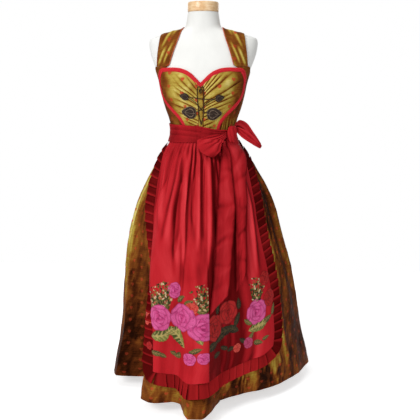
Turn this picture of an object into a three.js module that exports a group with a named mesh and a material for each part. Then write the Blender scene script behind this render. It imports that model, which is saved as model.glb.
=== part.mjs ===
// Dirndl with its apron and bow, worn by a limbless dress form on a pole and a round base.
// Millimetres, +Z up, -Y is the front, the origin is the centre of the base's underside.
// Angles run round the pole axis in degrees: 0 is the centre front, 90 is +X, -90 is -X.
import * as THREE from "three";
import { mergeVertices } from "three/addons/utils/BufferGeometryUtils.js";

// ---- driving dimensions ---------------------------------------------------------------------

const SEAM = 0.3; // gap between two pieces that are sewn or that touch
const CLOTH = 1.5; // thickness of a cloth wall
const EASE = 1.5; // bodice outside the form's ideal surface
const FORM_INSET = 2; // the faceted form inside that surface
const WAIST = 955; // height of the waist seam
const HEM = 45; // height of the skirt's hem
const UNDERARM = 1172; // lowest point of the armhole
const STRAP_FRONT = 1198; // height of the seam between the strap and the bodice front
const STRAP_BACK = 1262; // height of the seam between the strap and the bodice back
const BACK_SEAM = 110; // angle of the seam between the side panel and the back
const HEART_GATHERS = 9; // on each half
const GATHER_RELIEF = 2.4; // height of the heart panel's gathers
const PLACKET = 5.7; // half width of the placket strip, in degrees
const PLACKET_TOP = 1140;
const BODICE_DEGREE = 2.1; // width of one degree of the bodice, for outlines drawn flat
const APRON_LIFT = 4.6; // apron over the skirt
const TAIL_LIFT = 20; // bow tails over the skirt, clear of the apron's folds
const RUFFLE_WIDTH = 40;
const RUFFLE_PITCH = 30; // one pleat
const RUFFLE_DEPTH = 6;

const base = { radius: 150, height: 12, rim: 4 };
const pole = { radius: 16, sides: 16 };
const cap = { radius: 56.7, bottom: 1392, top: 1427, round: 5 };

// Sections of the dress form: half width, depth to the front and to the back, squareness.
const FORM = [
  { z: 700, half: 150, front: 86, back: 112, power: 2.1 },
  { z: 715, half: 158, front: 90, back: 116, power: 2.1 },
  { z: 770, half: 161, front: 93, back: 116, power: 2.1 },
  { z: 830, half: 150, front: 90, back: 104, power: 2.1 },
  { z: 890, half: 128, front: 87, back: 88, power: 2.1 },
  { z: 950, half: 112, front: 84, back: 78, power: 2.1 },
  { z: 1000, half: 121, front: 90, back: 84, power: 2.15 },
  { z: 1050, half: 138, front: 100, back: 90, power: 2.3 },
  { z: 1100, half: 151, front: 111, back: 96, power: 2.4 },
  { z: 1135, half: 158, front: 113, back: 100, power: 2.4 },
  { z: 1180, half: 171, front: 103, back: 104, power: 2.4 },
  { z: 1215, half: 185, front: 90, back: 104, power: 2.3 },
  { z: 1250, half: 196, front: 78, back: 98, power: 2.3 },
  { z: 1280, half: 200, front: 68, back: 88, power: 2.3 },
  { z: 1296, half: 197, front: 62, back: 80, power: 2.3 },
  { z: 1308, half: 165, front: 58, back: 74, power: 2.2 },
  { z: 1318, half: 126, front: 55, back: 68, power: 2.2 },
  { z: 1328, half: 83, front: 54, back: 62, power: 2.1 },
  { z: 1341, half: 66, front: 54, back: 56, power: 2.0 },
  { z: 1392, half: 56, front: 56, back: 54, power: 2.0 },
];
const BUST = { angle: 31, z: 1122, rise: 11, spreadAngle: 17, spreadZ: 36 };
const FORM_ROWS = [
  700, 712, 800, 890, 955, 990, 1025, 1060, 1090, 1120, 1150, 1180, 1210, 1240, 1268, 1290, 1300, 1310,
  1318, 1326, 1336, 1350, 1391.7,
];
const FORM_COLUMNS = 36;

// Half outline of the heart panel, from the V at the centre front round to the waist.
const HEART = [
  { angle: 9, z: 1153 },
  { angle: 19, z: 1171 },
  { angle: 29, z: 1182.5 },
  { angle: 39, z: 1189 },
  { angle: 49, z: 1191.5 },
  { angle: 58, z: 1191 },
  { angle: 64.5, z: 1184 },
  { angle: 69, z: 1170 },
  { angle: 72.5, z: 1150 },
  { angle: 74, z: 1126 },
  { angle: 72, z: 1095 },
  { angle: 66, z: 1070 },
  { angle: 56.5, z: 1044 },
  { angle: 47, z: 1019 },
  { angle: 40.5, z: 995 },
  { angle: 36, z: WAIST + SEAM },
];

// Shoulder strap: distance of its two edges from the centre, from front seam to back seam.
const STRAP = [
  { along: 0, inner: 118, outer: 163 },
  { along: 0.25, inner: 99, outer: 160 },
  { along: 0.5, inner: 75, outer: 151 },
  { along: 0.75, inner: 67, outer: 141 },
  { along: 1, inner: 62, outer: 124 },
];
const strapPivot = { y: 8, z: 1225 };

// Reach of the skirt's hem from the axis, round the whole hem.
const HEM_PLAN = [
  { angle: -180, reach: 400 },
  { angle: -161, reach: 383 },
  { angle: -141, reach: 406 },
  { angle: -121, reach: 376 },
  { angle: -104, reach: 362 },
  { angle: -88, reach: 346 },
  { angle: -76, reach: 352 },
  { angle: -66, reach: 358 },
  { angle: -56, reach: 347 },
  { angle: -48, reach: 338 },
  { angle: -40, reach: 345 },
  { angle: -34, reach: 368 },
  { angle: -28, reach: 396 },
  { angle: -22, reach: 404 },
  { angle: -16, reach: 385 },
  { angle: -10, reach: 366 },
  { angle: 0, reach: 362 },
  { angle: 10, reach: 358 },
  { angle: 16, reach: 343 },
  { angle: 24, reach: 325 },
  { angle: 34, reach: 319 },
  { angle: 46, reach: 331 },
  { angle: 58, reach: 346 },
  { angle: 67, reach: 357 },
  { angle: 78, reach: 378 },
  { angle: 88, reach: 398 },
  { angle: 98, reach: 420 },
  { angle: 108, reach: 430 },
  { angle: 119, reach: 406 },
  { angle: 133, reach: 384 },
  { angle: 149, reach: 410 },
  { angle: 165, reach: 385 },
];
// Share of that reach at each height.
const FLARE = [
  { z: HEM, share: 1 },
  { z: 113, share: 0.95 },
  { z: 169, share: 0.9 },
  { z: 250, share: 0.85 },
  { z: 326, share: 0.81 },
  { z: 395, share: 0.77 },
  { z: 455, share: 0.73 },
  { z: 507, share: 0.69 },
  { z: 584, share: 0.625 },
  { z: 643, share: 0.565 },
  { z: 694, share: 0.5 },
  { z: 744, share: 0.41 },
  { z: 805, share: 0.29 },
  { z: 868, share: 0.17 },
  { z: 890, share: 0.11 },
  { z: 917, share: 0.05 },
  { z: 940, share: 0.012 },
  { z: 955, share: 0 },
];
// The skirt's middle hangs a little to one side.
const SWAY = { reach: -13, z: 600, spread: 160 };
// The two deep folds of the hem: a pipe at the centre front and a valley at the apron's left edge.
const PIPE = {
  reach: 122,
  across: [
    { angle: -12, share: 0 },
    { angle: -8, share: 0.1 },
    { angle: -5, share: 0.45 },
    { angle: -3, share: 0.78 },
    { angle: -1, share: 1 },
    { angle: 4, share: 1 },
    { angle: 8.3, share: 0.62 },
    { angle: 11, share: 0.28 },
    { angle: 15, share: 0 },
  ],
  down: [
    { z: 45, share: 1 },
    { z: 100, share: 0.62 },
    { z: 160, share: 0.45 },
    { z: 300, share: 0.33 },
    { z: 450, share: 0.2 },
    { z: 700, share: 0 },
  ],
};
const VALLEY = {
  reach: -96,
  across: [
    { angle: -64, share: 0 },
    { angle: -58, share: 0.5 },
    { angle: -53, share: 0.87 },
    { angle: -48, share: 1 },
    { angle: -43, share: 1 },
    { angle: -38, share: 0.76 },
    { angle: -34, share: 0.36 },
    { angle: -31, share: 0.08 },
    { angle: -29, share: 0 },
  ],
  down: [
    { z: 45, share: 1 },
    { z: 200, share: 0.75 },
    { z: 392, share: 0.45 },
    { z: 569, share: 0.15 },
    { z: 700, share: 0 },
  ],
};
// Depth of the waist gathers and of the broader folds that they run into.
const SKIRT_FOLDS = {
  gathers: 40,
  folds: 11,
  depth: [
    { z: 45, gather: 0, fold: 5 },
    { z: 300, gather: 0, fold: 8 },
    { z: 600, gather: 0.8, fold: 9 },
    { z: 760, gather: 3.6, fold: 6 },
    { z: 850, gather: 4.6, fold: 2 },
    { z: 915, gather: 2.6, fold: 0.5 },
    { z: 940, gather: 0.8, fold: 0 },
    { z: 955, gather: 0, fold: 0 },
  ],
};
const SKIRT_ROWS = [HEM, 95, 165, 290, 410, 530, 650, 750, 830, 885, 918, 938, WAIST - SEAM];
// The widths of cloth in the skirt, each with the angles between its columns of faces.
const SKIRT_WIDTHS = [
  {
    name: "skirt_front",
    stretches: [
      { from: -81, to: -58.5, columns: 5 },
      { from: -58.5, to: -36, columns: 7 },
      { from: -36, to: -22, columns: 7 },
      { from: -22, to: -11, columns: 3 },
      { from: -11, to: 14, columns: 8 },
      { from: 14, to: 58.5, columns: 8 },
      { from: 58.5, to: 81, columns: 5 },
    ],
  },
  { name: "skirt_side_right", stretches: [{ from: 81, to: 153, columns: 16 }] },
  { name: "skirt_back", stretches: [{ from: 153, to: 207, columns: 12 }] },
  { name: "skirt_side_left", stretches: [{ from: 207, to: 279, columns: 16 }] },
];

// Side edges of the apron panel, where the ruffle is sewn on, and the height of its lower edge.
const APRON_SIDES = [
  { z: 150, left: -22, right: 52 },
  { z: 187, left: -22.5, right: 56.5 },
  { z: 255, left: -23.5, right: 59.5 },
  { z: 324, left: -25, right: 60 },
  { z: 392, left: -27.5, right: 60.3 },
  { z: 495, left: -33, right: 60.4 },
  { z: 570, left: -36.5, right: 59.6 },
  { z: 643, left: -41, right: 59.6 },
  { z: 716, left: -46.5, right: 62 },
  { z: 788, left: -55, right: 67 },
  { z: 859, left: -63, right: 73 },
  { z: 905, left: -72, right: 78 },
  { z: 946, left: -76, right: 80 },
];
const APRON_HEM = [
  { across: 0, z: 152 },
  { across: 0.12, z: 141 },
  { across: 0.3, z: 132 },
  { across: 0.45, z: 140 },
  { across: 0.6, z: 147 },
  { across: 0.75, z: 158 },
  { across: 0.9, z: 168 },
  { across: 1, z: 192 },
];
const APRON_FOLDS = {
  gathers: 20,
  folds: 7,
  depth: [
    { z: 120, gather: 0, fold: 3.5 },
    { z: 420, gather: 0.4, fold: 6 },
    { z: 640, gather: 1.6, fold: 6.5 },
    { z: 800, gather: 3.6, fold: 4 },
    { z: 890, gather: 4, fold: 1 },
    { z: 918, gather: 2.2, fold: 0 },
    { z: 930, gather: 0, fold: 0 },
  ],
};

// Upper and lower edge of the sash round the waist.
const SASH = [
  { angle: -180, top: 982, bottom: 930 },
  { angle: -90, top: 991, bottom: 924 },
  { angle: -10, top: 987, bottom: 927 },
  { angle: 40, top: 973, bottom: 930 },
  { angle: 62, top: 972, bottom: 938 },
  { angle: 100, top: 978, bottom: 932 },
];
const knot = { angle: 60, z: 957, half: 21, height: 22, depth: 15 };
// The loop that stands out to the side: its course runs out along the front layer and back along
// the hind one. low and high are the layer's edges over its middle line, and lean is how far the
// high edge is drawn back over the knot.
const rightLoop = {
  start: { across: 27.5, out: 0, up: 15 },
  length: 114,
  spread: 15,
  yaw: 8,
  fall: 34.5,
  steps: 20,
  edges: [
    { share: 0, low: -7, high: 5, lean: 0 },
    { share: 0.1, low: -13, high: 9, lean: 0 },
    { share: 0.2, low: -19, high: 12.5, lean: 0 },
    { share: 0.316, low: -17, high: 8, lean: 0 },
    { share: 0.42, low: -13, high: 2, lean: 0 },
    { share: 0.5, low: -8, high: 2, lean: 0 },
    { share: 0.6, low: -7, high: 13, lean: 0 },
    { share: 0.72, low: -7, high: 30, lean: 0 },
    { share: 0.85, low: -7, high: 46, lean: -4 },
    { share: 0.93, low: -6, high: 39, lean: -11 },
    { share: 1, low: -5, high: 12, lean: -14 },
  ],
};
// The loop that hangs over the front; fan and drop turn its end across and down.
const leftLoop = {
  start: { angle: 47, z: 953 },
  end: { angle: 5, z: 898 },
  spread: 8,
  lift: 3.4,
  root: 10,
  half: 38,
  fan: -0.3,
  drop: 0.2,
  round: 0.12,
  steps: 20,
};
const TAILS = [
  {
    name: "bow_tail_left",
    seat: 0.8,
    edges: [
      { z: 384, left: 8.5, right: 22.5 },
      { z: 500, left: 12, right: 26.5 },
      { z: 600, left: 14.4, right: 30.8 },
      { z: 680, left: 16.2, right: 35 },
      { z: 769, left: 20.7, right: 40.5 },
      { z: 850, left: 27, right: 46 },
      { z: 900, left: 36, right: 51.5 },
      { z: 933, left: 45, right: 56 },
    ],
  },
  {
    name: "bow_tail_right",
    seat: 0,
    edges: [
      { z: 440, left: 29, right: 37 },
      { z: 519, left: 30.5, right: 40 },
      { z: 671, left: 36.5, right: 47 },
      { z: 765, left: 42.5, right: 56.5 },
      { z: 800, left: 45, right: 60.5 },
      { z: 850, left: 48.5, right: 69 },
      { z: 900, left: 53, right: 74 },
      { z: 933, left: 57.5, right: 70 },
    ],
  },
];
const LEAVES = [
  { name: "leaf_large_left", angle: -21, z: 1036, length: 47, width: 46, turn: 176 },
  { name: "leaf_large_right", angle: 24, z: 1031, length: 47, width: 46, turn: 4 },
  { name: "leaf_small_left", angle: -26, z: 1093, length: 26, width: 25, turn: 164 },
  { name: "leaf_small_right", angle: 31, z: 1088, length: 26, width: 25, turn: 16 },
];

// ---- finishes -------------------------------------------------------------------------------

const finish = (color, roughness, metalness = 0) => ({ color, roughness, metalness });
const TAFFETA = finish(0x9a7a2a, 0.45);
const SATIN = finish(0xb01e30, 0.35);
const TAPE = finish(0xdc2430, 0.6);
const PIPING = finish(0xc8502a, 0.6);
const PEWTER = finish(0x4a4440, 0.5, 0.3);
const FORM_CLOTH = finish(0xf2efe8, 0.85);
const WOOD = finish(0xe0b078, 0.4);
const STEEL = finish(0xc8c8c8, 0.35, 0.9);

// ---- small helpers --------------------------------------------------------------------------

const radians = THREE.MathUtils.degToRad;
const { lerp, smoothstep } = THREE.MathUtils;
const ring = (share) => 0.5 - 0.5 * Math.cos(2 * Math.PI * share);

/** Smooth monotone curve through two columns of a table; a period makes it close on itself. */
function curve(rows, from, to, period = 0) {
  let knots = rows.map((row) => [row[from], row[to]]);
  if (period) {
    const shifted = (row, by) => [row[0] + by, row[1]];
    const last = knots.slice(-2).map((row) => shifted(row, -period));
    const first = knots.slice(0, 2).map((row) => shifted(row, period));
    knots = [...last, ...knots, ...first];
  }
  const slopes = knots.slice(1).map(([x, y], i) => (y - knots[i][1]) / (x - knots[i][0]));
  const tangent = (i) => {
    if (i === 0) return slopes[0];
    if (i === slopes.length) return slopes[i - 1];
    const [a, b] = [slopes[i - 1], slopes[i]];
    return a * b <= 0 ? 0 : (2 * a * b) / (a + b);
  };
  const tangents = knots.map((_, i) => tangent(i));
  const start = period ? knots[2][0] : knots[0][0];
  return (x) => {
    const at = period ? THREE.MathUtils.euclideanModulo(x - start, period) + start : x;
    let i = 0;
    while (i < slopes.length - 1 && at > knots[i + 1][0]) i += 1;
    const width = knots[i + 1][0] - knots[i][0];
    const t = THREE.MathUtils.clamp((at - knots[i][0]) / width, 0, 1);
    const s = 1 - t;
    return (
      knots[i][1] * (1 + 2 * t) * s * s +
      width * tangents[i] * t * s * s +
      knots[i + 1][1] * t * t * (3 - 2 * t) -
      width * tangents[i + 1] * t * t * s
    );
  };
}

/** A point at a distance from the pole axis. */
function around(radius, angle, z) {
  const turn = radians(angle);
  return new THREE.Vector3(radius * Math.sin(turn), -radius * Math.cos(turn), z);
}

/** Point of a surface that is given by its radius(angle, z), moved out along its normal. */
function onSurface(radius, angle, z, out = 0) {
  const [dAngle, dz] = [0.5, 2];
  const point = (a, h) => around(radius(a, h), a, h);
  const round = point(angle + dAngle, z).sub(point(angle - dAngle, z));
  const up = point(angle, z + dz).sub(point(angle, z - dz));
  return point(angle, z).addScaledVector(round.cross(up).normalize(), out);
}

const meshes = [];

/** Adds a named mesh with its own material; its faces are turned out if they point in. */
function addMesh(name, look, points, triangles) {
  const volume = triangles.reduce((sum, [a, b, c]) => {
    return sum + points[a].dot(points[b].clone().cross(points[c]));
  }, 0);
  const facing = volume < 0 ? triangles.map(([a, b, c]) => [a, c, b]) : triangles;
  const geometry = new THREE.BufferGeometry().setFromPoints(points);
  geometry.setIndex(facing.flat());
  return addGeometry(name, look, geometry);
}

function addGeometry(name, look, geometry) {
  geometry.computeVertexNormals();
  const mesh = new THREE.Mesh(geometry, new THREE.MeshStandardMaterial(look));
  mesh.name = name;
  meshes.push(mesh);
  return mesh;
}

/**
 * A closed cloth wall. pair(u, v) gives its inner and its outer point for u and v from 0 to 1;
 * with wrap, the wall closes on itself along u.
 */
function addWall(name, look, columns, rows, pair, wrap = false) {
  const width = wrap ? columns : columns + 1;
  const points = [];
  for (let i = 0; i <= rows; i += 1) {
    for (let j = 0; j < width; j += 1) points.push(...pair(j / columns, i / rows, j, i));
  }
  const index = (i, j, side) => 2 * (i * width + (j % width)) + side;
  const triangles = [];
  const quad = (a, b, c, d) => triangles.push([a, b, c], [a, c, d]);
  for (let i = 0; i < rows; i += 1) {
    for (let j = 0; j < columns; j += 1) {
      quad(index(i, j, 1), index(i, j + 1, 1), index(i + 1, j + 1, 1), index(i + 1, j, 1));
      quad(index(i, j, 0), index(i + 1, j, 0), index(i + 1, j + 1, 0), index(i, j + 1, 0));
    }
  }
  for (let j = 0; j < columns; j += 1) {
    quad(index(0, j, 0), index(0, j + 1, 0), index(0, j + 1, 1), index(0, j, 1));
    quad(index(rows, j, 1), index(rows, j + 1, 1), index(rows, j + 1, 0), index(rows, j, 0));
  }
  for (let i = 0; i < rows && !wrap; i += 1) {
    quad(index(i, 0, 0), index(i, 0, 1), index(i + 1, 0, 1), index(i + 1, 0, 0));
    const far = columns;
    quad(index(i, far, 1), index(i, far, 0), index(i + 1, far, 0), index(i + 1, far, 1));
  }
  return addMesh(name, look, points, triangles);
}

/** A solid from rings of points, closed at both ends by a point in their middle. */
function addLoft(name, look, rings) {
  const count = rings[0].length;
  const points = rings.flat();
  const middle = (ringPoints) => {
    return ringPoints.reduce((sum, p) => sum.add(p), new THREE.Vector3()).divideScalar(count);
  };
  const triangles = [];
  for (let i = 0; i + 1 < rings.length; i += 1) {
    for (let j = 0; j < count; j += 1) {
      const [a, b] = [i * count + j, i * count + ((j + 1) % count)];
      triangles.push([a, b, b + count], [a, b + count, a + count]);
    }
  }
  const last = (rings.length - 1) * count;
  const [under, over] = [points.length, points.length + 1];
  points.push(middle(rings[0]), middle(rings.at(-1)));
  for (let j = 0; j < count; j += 1) {
    triangles.push([under, (j + 1) % count, j], [over, last + j, last + ((j + 1) % count)]);
  }
  return addMesh(name, look, points, triangles);
}

// ---- surfaces -------------------------------------------------------------------------------

/** An angle brought to -180 ... 180. */
const wrapped = (angle) => THREE.MathUtils.euclideanModulo(angle + 180, 360) - 180;

const formHalf = curve(FORM, "z", "half");
const formFront = curve(FORM, "z", "front");
const formBack = curve(FORM, "z", "back");
const formPower = curve(FORM, "z", "power");

/** Radius of the dress form, a superellipse at each height with the bust raised on it. */
function formRadius(angle, z) {
  const turn = radians(angle);
  const depth = Math.cos(turn) > 0 ? formFront(z) : formBack(z);
  const power = formPower(z);
  const sum =
    Math.abs(Math.sin(turn) / formHalf(z)) ** power + Math.abs(Math.cos(turn) / depth) ** power;
  const side = (Math.abs(wrapped(angle)) - BUST.angle) / BUST.spreadAngle;
  const level = (z - BUST.z) / BUST.spreadZ;
  return sum ** (-1 / power) + BUST.rise * Math.exp(-side * side - level * level);
}

const onForm = (angle, z, out) => onSurface(formRadius, angle, z, out);

const hemReach = curve(HEM_PLAN, "angle", "reach", 360);
const flare = curve(FLARE, "z", "share");
const gatherDepth = curve(SKIRT_FOLDS.depth, "z", "gather");
const foldDepth = curve(SKIRT_FOLDS.depth, "z", "fold");
const feature = ({ reach, across, down }) => {
  const [side, height] = [curve(across, "angle", "share"), curve(down, "z", "share")];
  return (angle, z) => reach * side(angle) * height(z);
};
const pipe = feature(PIPE);
const valley = feature(VALLEY);
const sway = (angle, z) => {
  return SWAY.reach * Math.sin(radians(angle)) * Math.exp(-(((z - SWAY.z) / SWAY.spread) ** 2));
};
const apronLeft = curve(APRON_SIDES, "z", "left");
const apronRight = curve(APRON_SIDES, "z", "right");
const apronHem = curve(APRON_HEM, "across", "z");
const apronGather = curve(APRON_FOLDS.depth, "z", "gather");
const apronFold = curve(APRON_FOLDS.depth, "z", "fold");
const sashTop = curve(SASH, "angle", "top", 360);
const sashBottom = curve(SASH, "angle", "bottom", 360);

/** 0 under the apron, 1 well outside it. */
function outsideApron(angle, z) {
  const side = wrapped(angle);
  const room = Math.max(apronLeft(z) - side, side - apronRight(z));
  return smoothstep(room, 4, 16);
}

/** Radius of the skirt, without its gathers and folds. */
function skirtBody(angle, z) {
  const waist = formRadius(angle, WAIST) + EASE;
  const side = wrapped(angle);
  const folds = pipe(side, z) + valley(side, z);
  return waist + (hemReach(side) - waist) * flare(z) + folds + sway(side, z);
}

/** Radius of the inner face of the skirt. */
function skirtRadius(angle, z) {
  const { gathers, folds } = SKIRT_FOLDS;
  const drift = 14 * Math.sin(radians(3 * angle)) + 9 * Math.sin(radians(7 * angle + 40));
  const gather = gatherDepth(z) * ring((gathers * angle) / 360);
  const fold = foldDepth(z) * (ring((folds * (angle + drift)) / 360) - 0.4);
  return skirtBody(angle, z) + (gather + fold) * outsideApron(angle, z);
}

/** How far the apron's own gathers and folds lift it off the skirt. */
function apronRise(angle, z) {
  const { gathers, folds } = APRON_FOLDS;
  const across = (angle - apronLeft(z)) / (apronRight(z) - apronLeft(z));
  const drift = 0.035 * Math.sin(9 * across + 1) + 0.02 * Math.sin(23 * across);
  return (
    apronGather(z) * ring(gathers * across) +
    apronFold(z) * ring(folds * (across + drift))
  );
}

const apronRadius = (angle, z) => skirtBody(angle, z);
const apronOut = (angle, z) => CLOTH + 1.2 + APRON_LIFT * smoothstep(WAIST - z, 10, 90);

/** Radius of the sash's inner face: over the bodice above the waist seam, over the apron below. */
function sashRadius(angle, z) {
  const overBodice = formRadius(angle, Math.max(z, WAIST)) + EASE + CLOTH + 4.6;
  const overApron = skirtBody(angle, Math.min(z, WAIST)) + 2 * CLOTH + 6.2;
  return Math.max(overBodice, overApron);
}

/** Radius of the layer that the bow lies on: over the sash and clear of the apron's folds. */
function bowRadius(angle, z) {
  const blend = smoothstep(z, 890, 935);
  const low = skirtBody(angle, Math.min(z, WAIST)) + TAIL_LIFT;
  const high = sashRadius(angle, Math.max(z, 925)) + CLOTH + 0.8;
  return Math.max(lerp(low, high, blend), lerp(low, high, 1 - 0.5 * (1 - blend)) - 6);
}

// ---- the dress form and its stand -----------------------------------------------------------

function addForm() {
  const rings = FORM_ROWS.map((z) => {
    return Array.from({ length: FORM_COLUMNS }, (_, j) => {
      return onForm((360 * j) / FORM_COLUMNS, z, -FORM_INSET);
    });
  });
  rings.forEach((ringPoints, i) => ringPoints.forEach((p) => (p.z = FORM_ROWS[i])));
  addLoft("form_torso", FORM_CLOTH, rings);
}

/** A solid turned round the Z axis, from [radius, height] pairs that start and end on the axis. */
function addTurned(name, look, profile, segments) {
  const outline = profile.map(([r, z]) => new THREE.Vector2(r, z));
  const geometry = new THREE.LatheGeometry(outline, segments);
  geometry.rotateX(Math.PI / 2);
  geometry.deleteAttribute("normal");
  geometry.deleteAttribute("uv");
  const merged = mergeVertices(geometry, 1e-3);
  addGeometry(name, look, merged);
}

function addStand() {
  const bevel = cap.round / 3;
  addTurned(
    "form_neck_cap",
    WOOD,
    [
      [0, cap.bottom],
      [cap.radius - bevel, cap.bottom],
      [cap.radius, cap.bottom + bevel],
      [cap.radius, cap.top - cap.round],
      [cap.radius - bevel, cap.top - bevel],
      [cap.radius - cap.round, cap.top],
      [0, cap.top],
    ],
    24,
  );
  addTurned(
    "form_base",
    STEEL,
    [
      [0, 0],
      [base.radius - 1, 0],
      [base.radius, 1],
      [base.radius, base.height - base.rim],
      [base.radius - base.rim, base.height],
      [0, base.height],
    ],
    32,
  );
  addTurned(
    "form_pole",
    STEEL,
    [
      [0, base.height + SEAM],
      [pole.radius, base.height + SEAM],
      [pole.radius, FORM[0].z - SEAM],
      [0, FORM[0].z - SEAM],
    ],
    pole.sides,
  );
}

// ---- the bodice -----------------------------------------------------------------------------

/** The heart's half outline as a curve in angle and height. */
const heartCurve = new THREE.CatmullRomCurve3(
  HEART.map(({ angle, z }) => new THREE.Vector3(angle * BODICE_DEGREE, z, 0)),
  false,
  "centripetal",
);
const heartAt = (share) => {
  const p = heartCurve.getPointAt(share);
  return { angle: p.x / BODICE_DEGREE, z: p.y };
};
const inset = (distance, angle, z) => (distance / formRadius(angle, z)) * (180 / Math.PI);

/** One gathered half of the heart panel; its gathers fan out from the placket. */
function addHeartHalf(name, side) {
  const top = PLACKET_TOP + 3;
  addWall(name, TAFFETA, HEART_GATHERS * 2, 6, (u, v) => {
    const outline = heartAt(u);
    const start = { angle: PLACKET + 0.15, z: lerp(top, WAIST + SEAM, u) };
    const angle = lerp(start.angle, outline.angle - inset(SEAM / 2, outline.angle, outline.z), v);
    const z = lerp(start.z, outline.z, v);
    const run = Math.hypot((outline.angle - start.angle) * BODICE_DEGREE, outline.z - start.z);
    const fade = smoothstep(v, -0.12, 0.25) * smoothstep((1 - v) * run, 18, 34);
    const rise = GATHER_RELIEF * ring(u * HEART_GATHERS) * fade * smoothstep(u, 0.04, 0.2);
    return [onForm(side * angle, z, EASE), onForm(side * angle, z, EASE + CLOTH + rise)];
  });
}

function addPlacket() {
  addWall("placket", TAFFETA, 2, 7, (u, v) => {
    const angle = lerp(-PLACKET, PLACKET, u);
    const z = lerp(WAIST + SEAM, PLACKET_TOP, v);
    return [onForm(angle, z, EASE), onForm(angle, z, EASE + CLOTH + 0.2)];
  });
}

/** The underarm panel between the heart and the back seam. */
function addSidePanel(name, side) {
  const armhole = curve(
    [
      { angle: 56, z: STRAP_FRONT - SEAM },
      { angle: 76, z: STRAP_FRONT - SEAM },
      { angle: 84, z: UNDERARM + 9 },
      { angle: 94, z: UNDERARM },
      { angle: BACK_SEAM, z: UNDERARM + 24 },
    ],
    "angle",
    "z",
  );
  const columns = HEART_GATHERS * 2;
  const corner = 6;
  const rows = columns - corner + 1;
  addWall(name, TAFFETA, 7, rows, (u, v, j, i) => {
    const outline = i < rows ? heartAt(1 - i / columns) : { angle: 57, z: STRAP_FRONT - SEAM };
    const near = outline.angle + inset(SEAM / 2, outline.angle, outline.z);
    const share = (outline.z - WAIST - SEAM) / (STRAP_FRONT - WAIST - 2 * SEAM);
    const level = lerp(WAIST + SEAM, UNDERARM, share);
    const angle = lerp(near, BACK_SEAM - inset(SEAM / 2, BACK_SEAM, level), u);
    const reach = lerp(WAIST + SEAM, armhole(angle), share);
    const z = lerp(outline.z, reach, Math.min(1, 3.5 * u));
    return [onForm(side * angle, z, EASE), onForm(side * angle, z, EASE + CLOTH)];
  });
}

/** One half of the back, from the side seam to the centre back seam. */
function addBackHalf(name, side) {
  const edge = curve(
    [
      { angle: BACK_SEAM, z: UNDERARM + 24 },
      { angle: 118, z: UNDERARM + 52 },
      { angle: 125, z: STRAP_BACK - SEAM },
      { angle: 155, z: STRAP_BACK - SEAM },
      { angle: 168, z: STRAP_BACK - 14 },
      { angle: 180, z: STRAP_BACK - 18 },
    ],
    "angle",
    "z",
  );
  addWall(name, TAFFETA, 7, 10, (u, v) => {
    const level = lerp(WAIST + SEAM, 1200, v);
    const start = BACK_SEAM + inset(SEAM / 2, BACK_SEAM, level);
    const angle = lerp(start, 180 - inset(SEAM / 2, 180, level), u);
    const z = lerp(WAIST + SEAM, edge(angle), v);
    return [onForm(side * angle, z, EASE), onForm(side * angle, z, EASE + CLOTH)];
  });
}

/** Signed distance-like value: below 0 inside the form. */
function formField(p) {
  const angle = THREE.MathUtils.radToDeg(Math.atan2(p.x, -p.y));
  return Math.hypot(p.x, p.y) - formRadius(angle, p.z);
}

/** The point where a ray in the plane of one x meets the form, and the form's normal there. */
function overShoulder(x, turn) {
  const direction = new THREE.Vector3(0, -Math.cos(turn), Math.sin(turn));
  const pivot = new THREE.Vector3(x, strapPivot.y, strapPivot.z);
  let [near, far] = [0, 220];
  for (let i = 0; i < 40; i += 1) {
    const middle = (near + far) / 2;
    if (formField(pivot.clone().addScaledVector(direction, middle)) < 0) near = middle;
    else far = middle;
  }
  const point = pivot.addScaledVector(direction, near);
  const step = 1.5;
  const axes = [new THREE.Vector3(step), new THREE.Vector3(0, step), new THREE.Vector3(0, 0, step)];
  const slopes = axes.map((e) => formField(point.clone().add(e)) - formField(point.clone().sub(e)));
  return { point, normal: new THREE.Vector3(...slopes).normalize() };
}

/** The turn of the ray that meets the form at a height, on the front (-1) or back (1). */
function turnAt(x, z, face) {
  let [inside, outside] = [strapPivot.y, face * 200];
  for (let i = 0; i < 40; i += 1) {
    const y = (inside + outside) / 2;
    if (formField(new THREE.Vector3(x, y, z)) < 0) inside = y;
    else outside = y;
  }
  const turn = Math.atan2(z - strapPivot.z, -(inside - strapPivot.y));
  return turn < -Math.PI / 2 ? turn + 2 * Math.PI : turn;
}

const strapInner = curve(STRAP, "along", "inner");
const strapOuter = curve(STRAP, "along", "outer");

function strapPoint(x, along) {
  const front = turnAt(x, STRAP_FRONT + SEAM / 2, -1);
  const back = turnAt(x, STRAP_BACK + SEAM / 2, 1);
  return overShoulder(x, lerp(front, back, along));
}

function addStrap(name, side) {
  addWall(name, TAFFETA, 4, 16, (u, v) => {
    const x = lerp(strapInner(v), strapOuter(v), u);
    const { point, normal } = strapPoint(x, v);
    const crease = 0.9 * ring(1.6 * u + 0.9 * v) * ring(v);
    const pair = [EASE, EASE + CLOTH + crease].map((out) => {
      return point.clone().addScaledVector(normal, out);
    });
    return pair.map((p) => p.setX(side * p.x));
  });
}

/** A round cord along a list of points, as one closed tube. */
function cordGeometry(points, radius, steps, sides) {
  const section = new THREE.Shape();
  for (let k = 0; k < sides; k += 1) {
    const turn = (2 * Math.PI * k) / sides;
    section[k ? "lineTo" : "moveTo"](radius * Math.cos(turn), radius * Math.sin(turn));
  }
  const extrudePath = new THREE.CatmullRomCurve3(points, false, "centripetal");
  const geometry = new THREE.ExtrudeGeometry(section, { steps, extrudePath, bevelEnabled: false });
  geometry.deleteAttribute("normal");
  geometry.deleteAttribute("uv");
  return mergeVertices(geometry, 1e-3);
}

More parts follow.
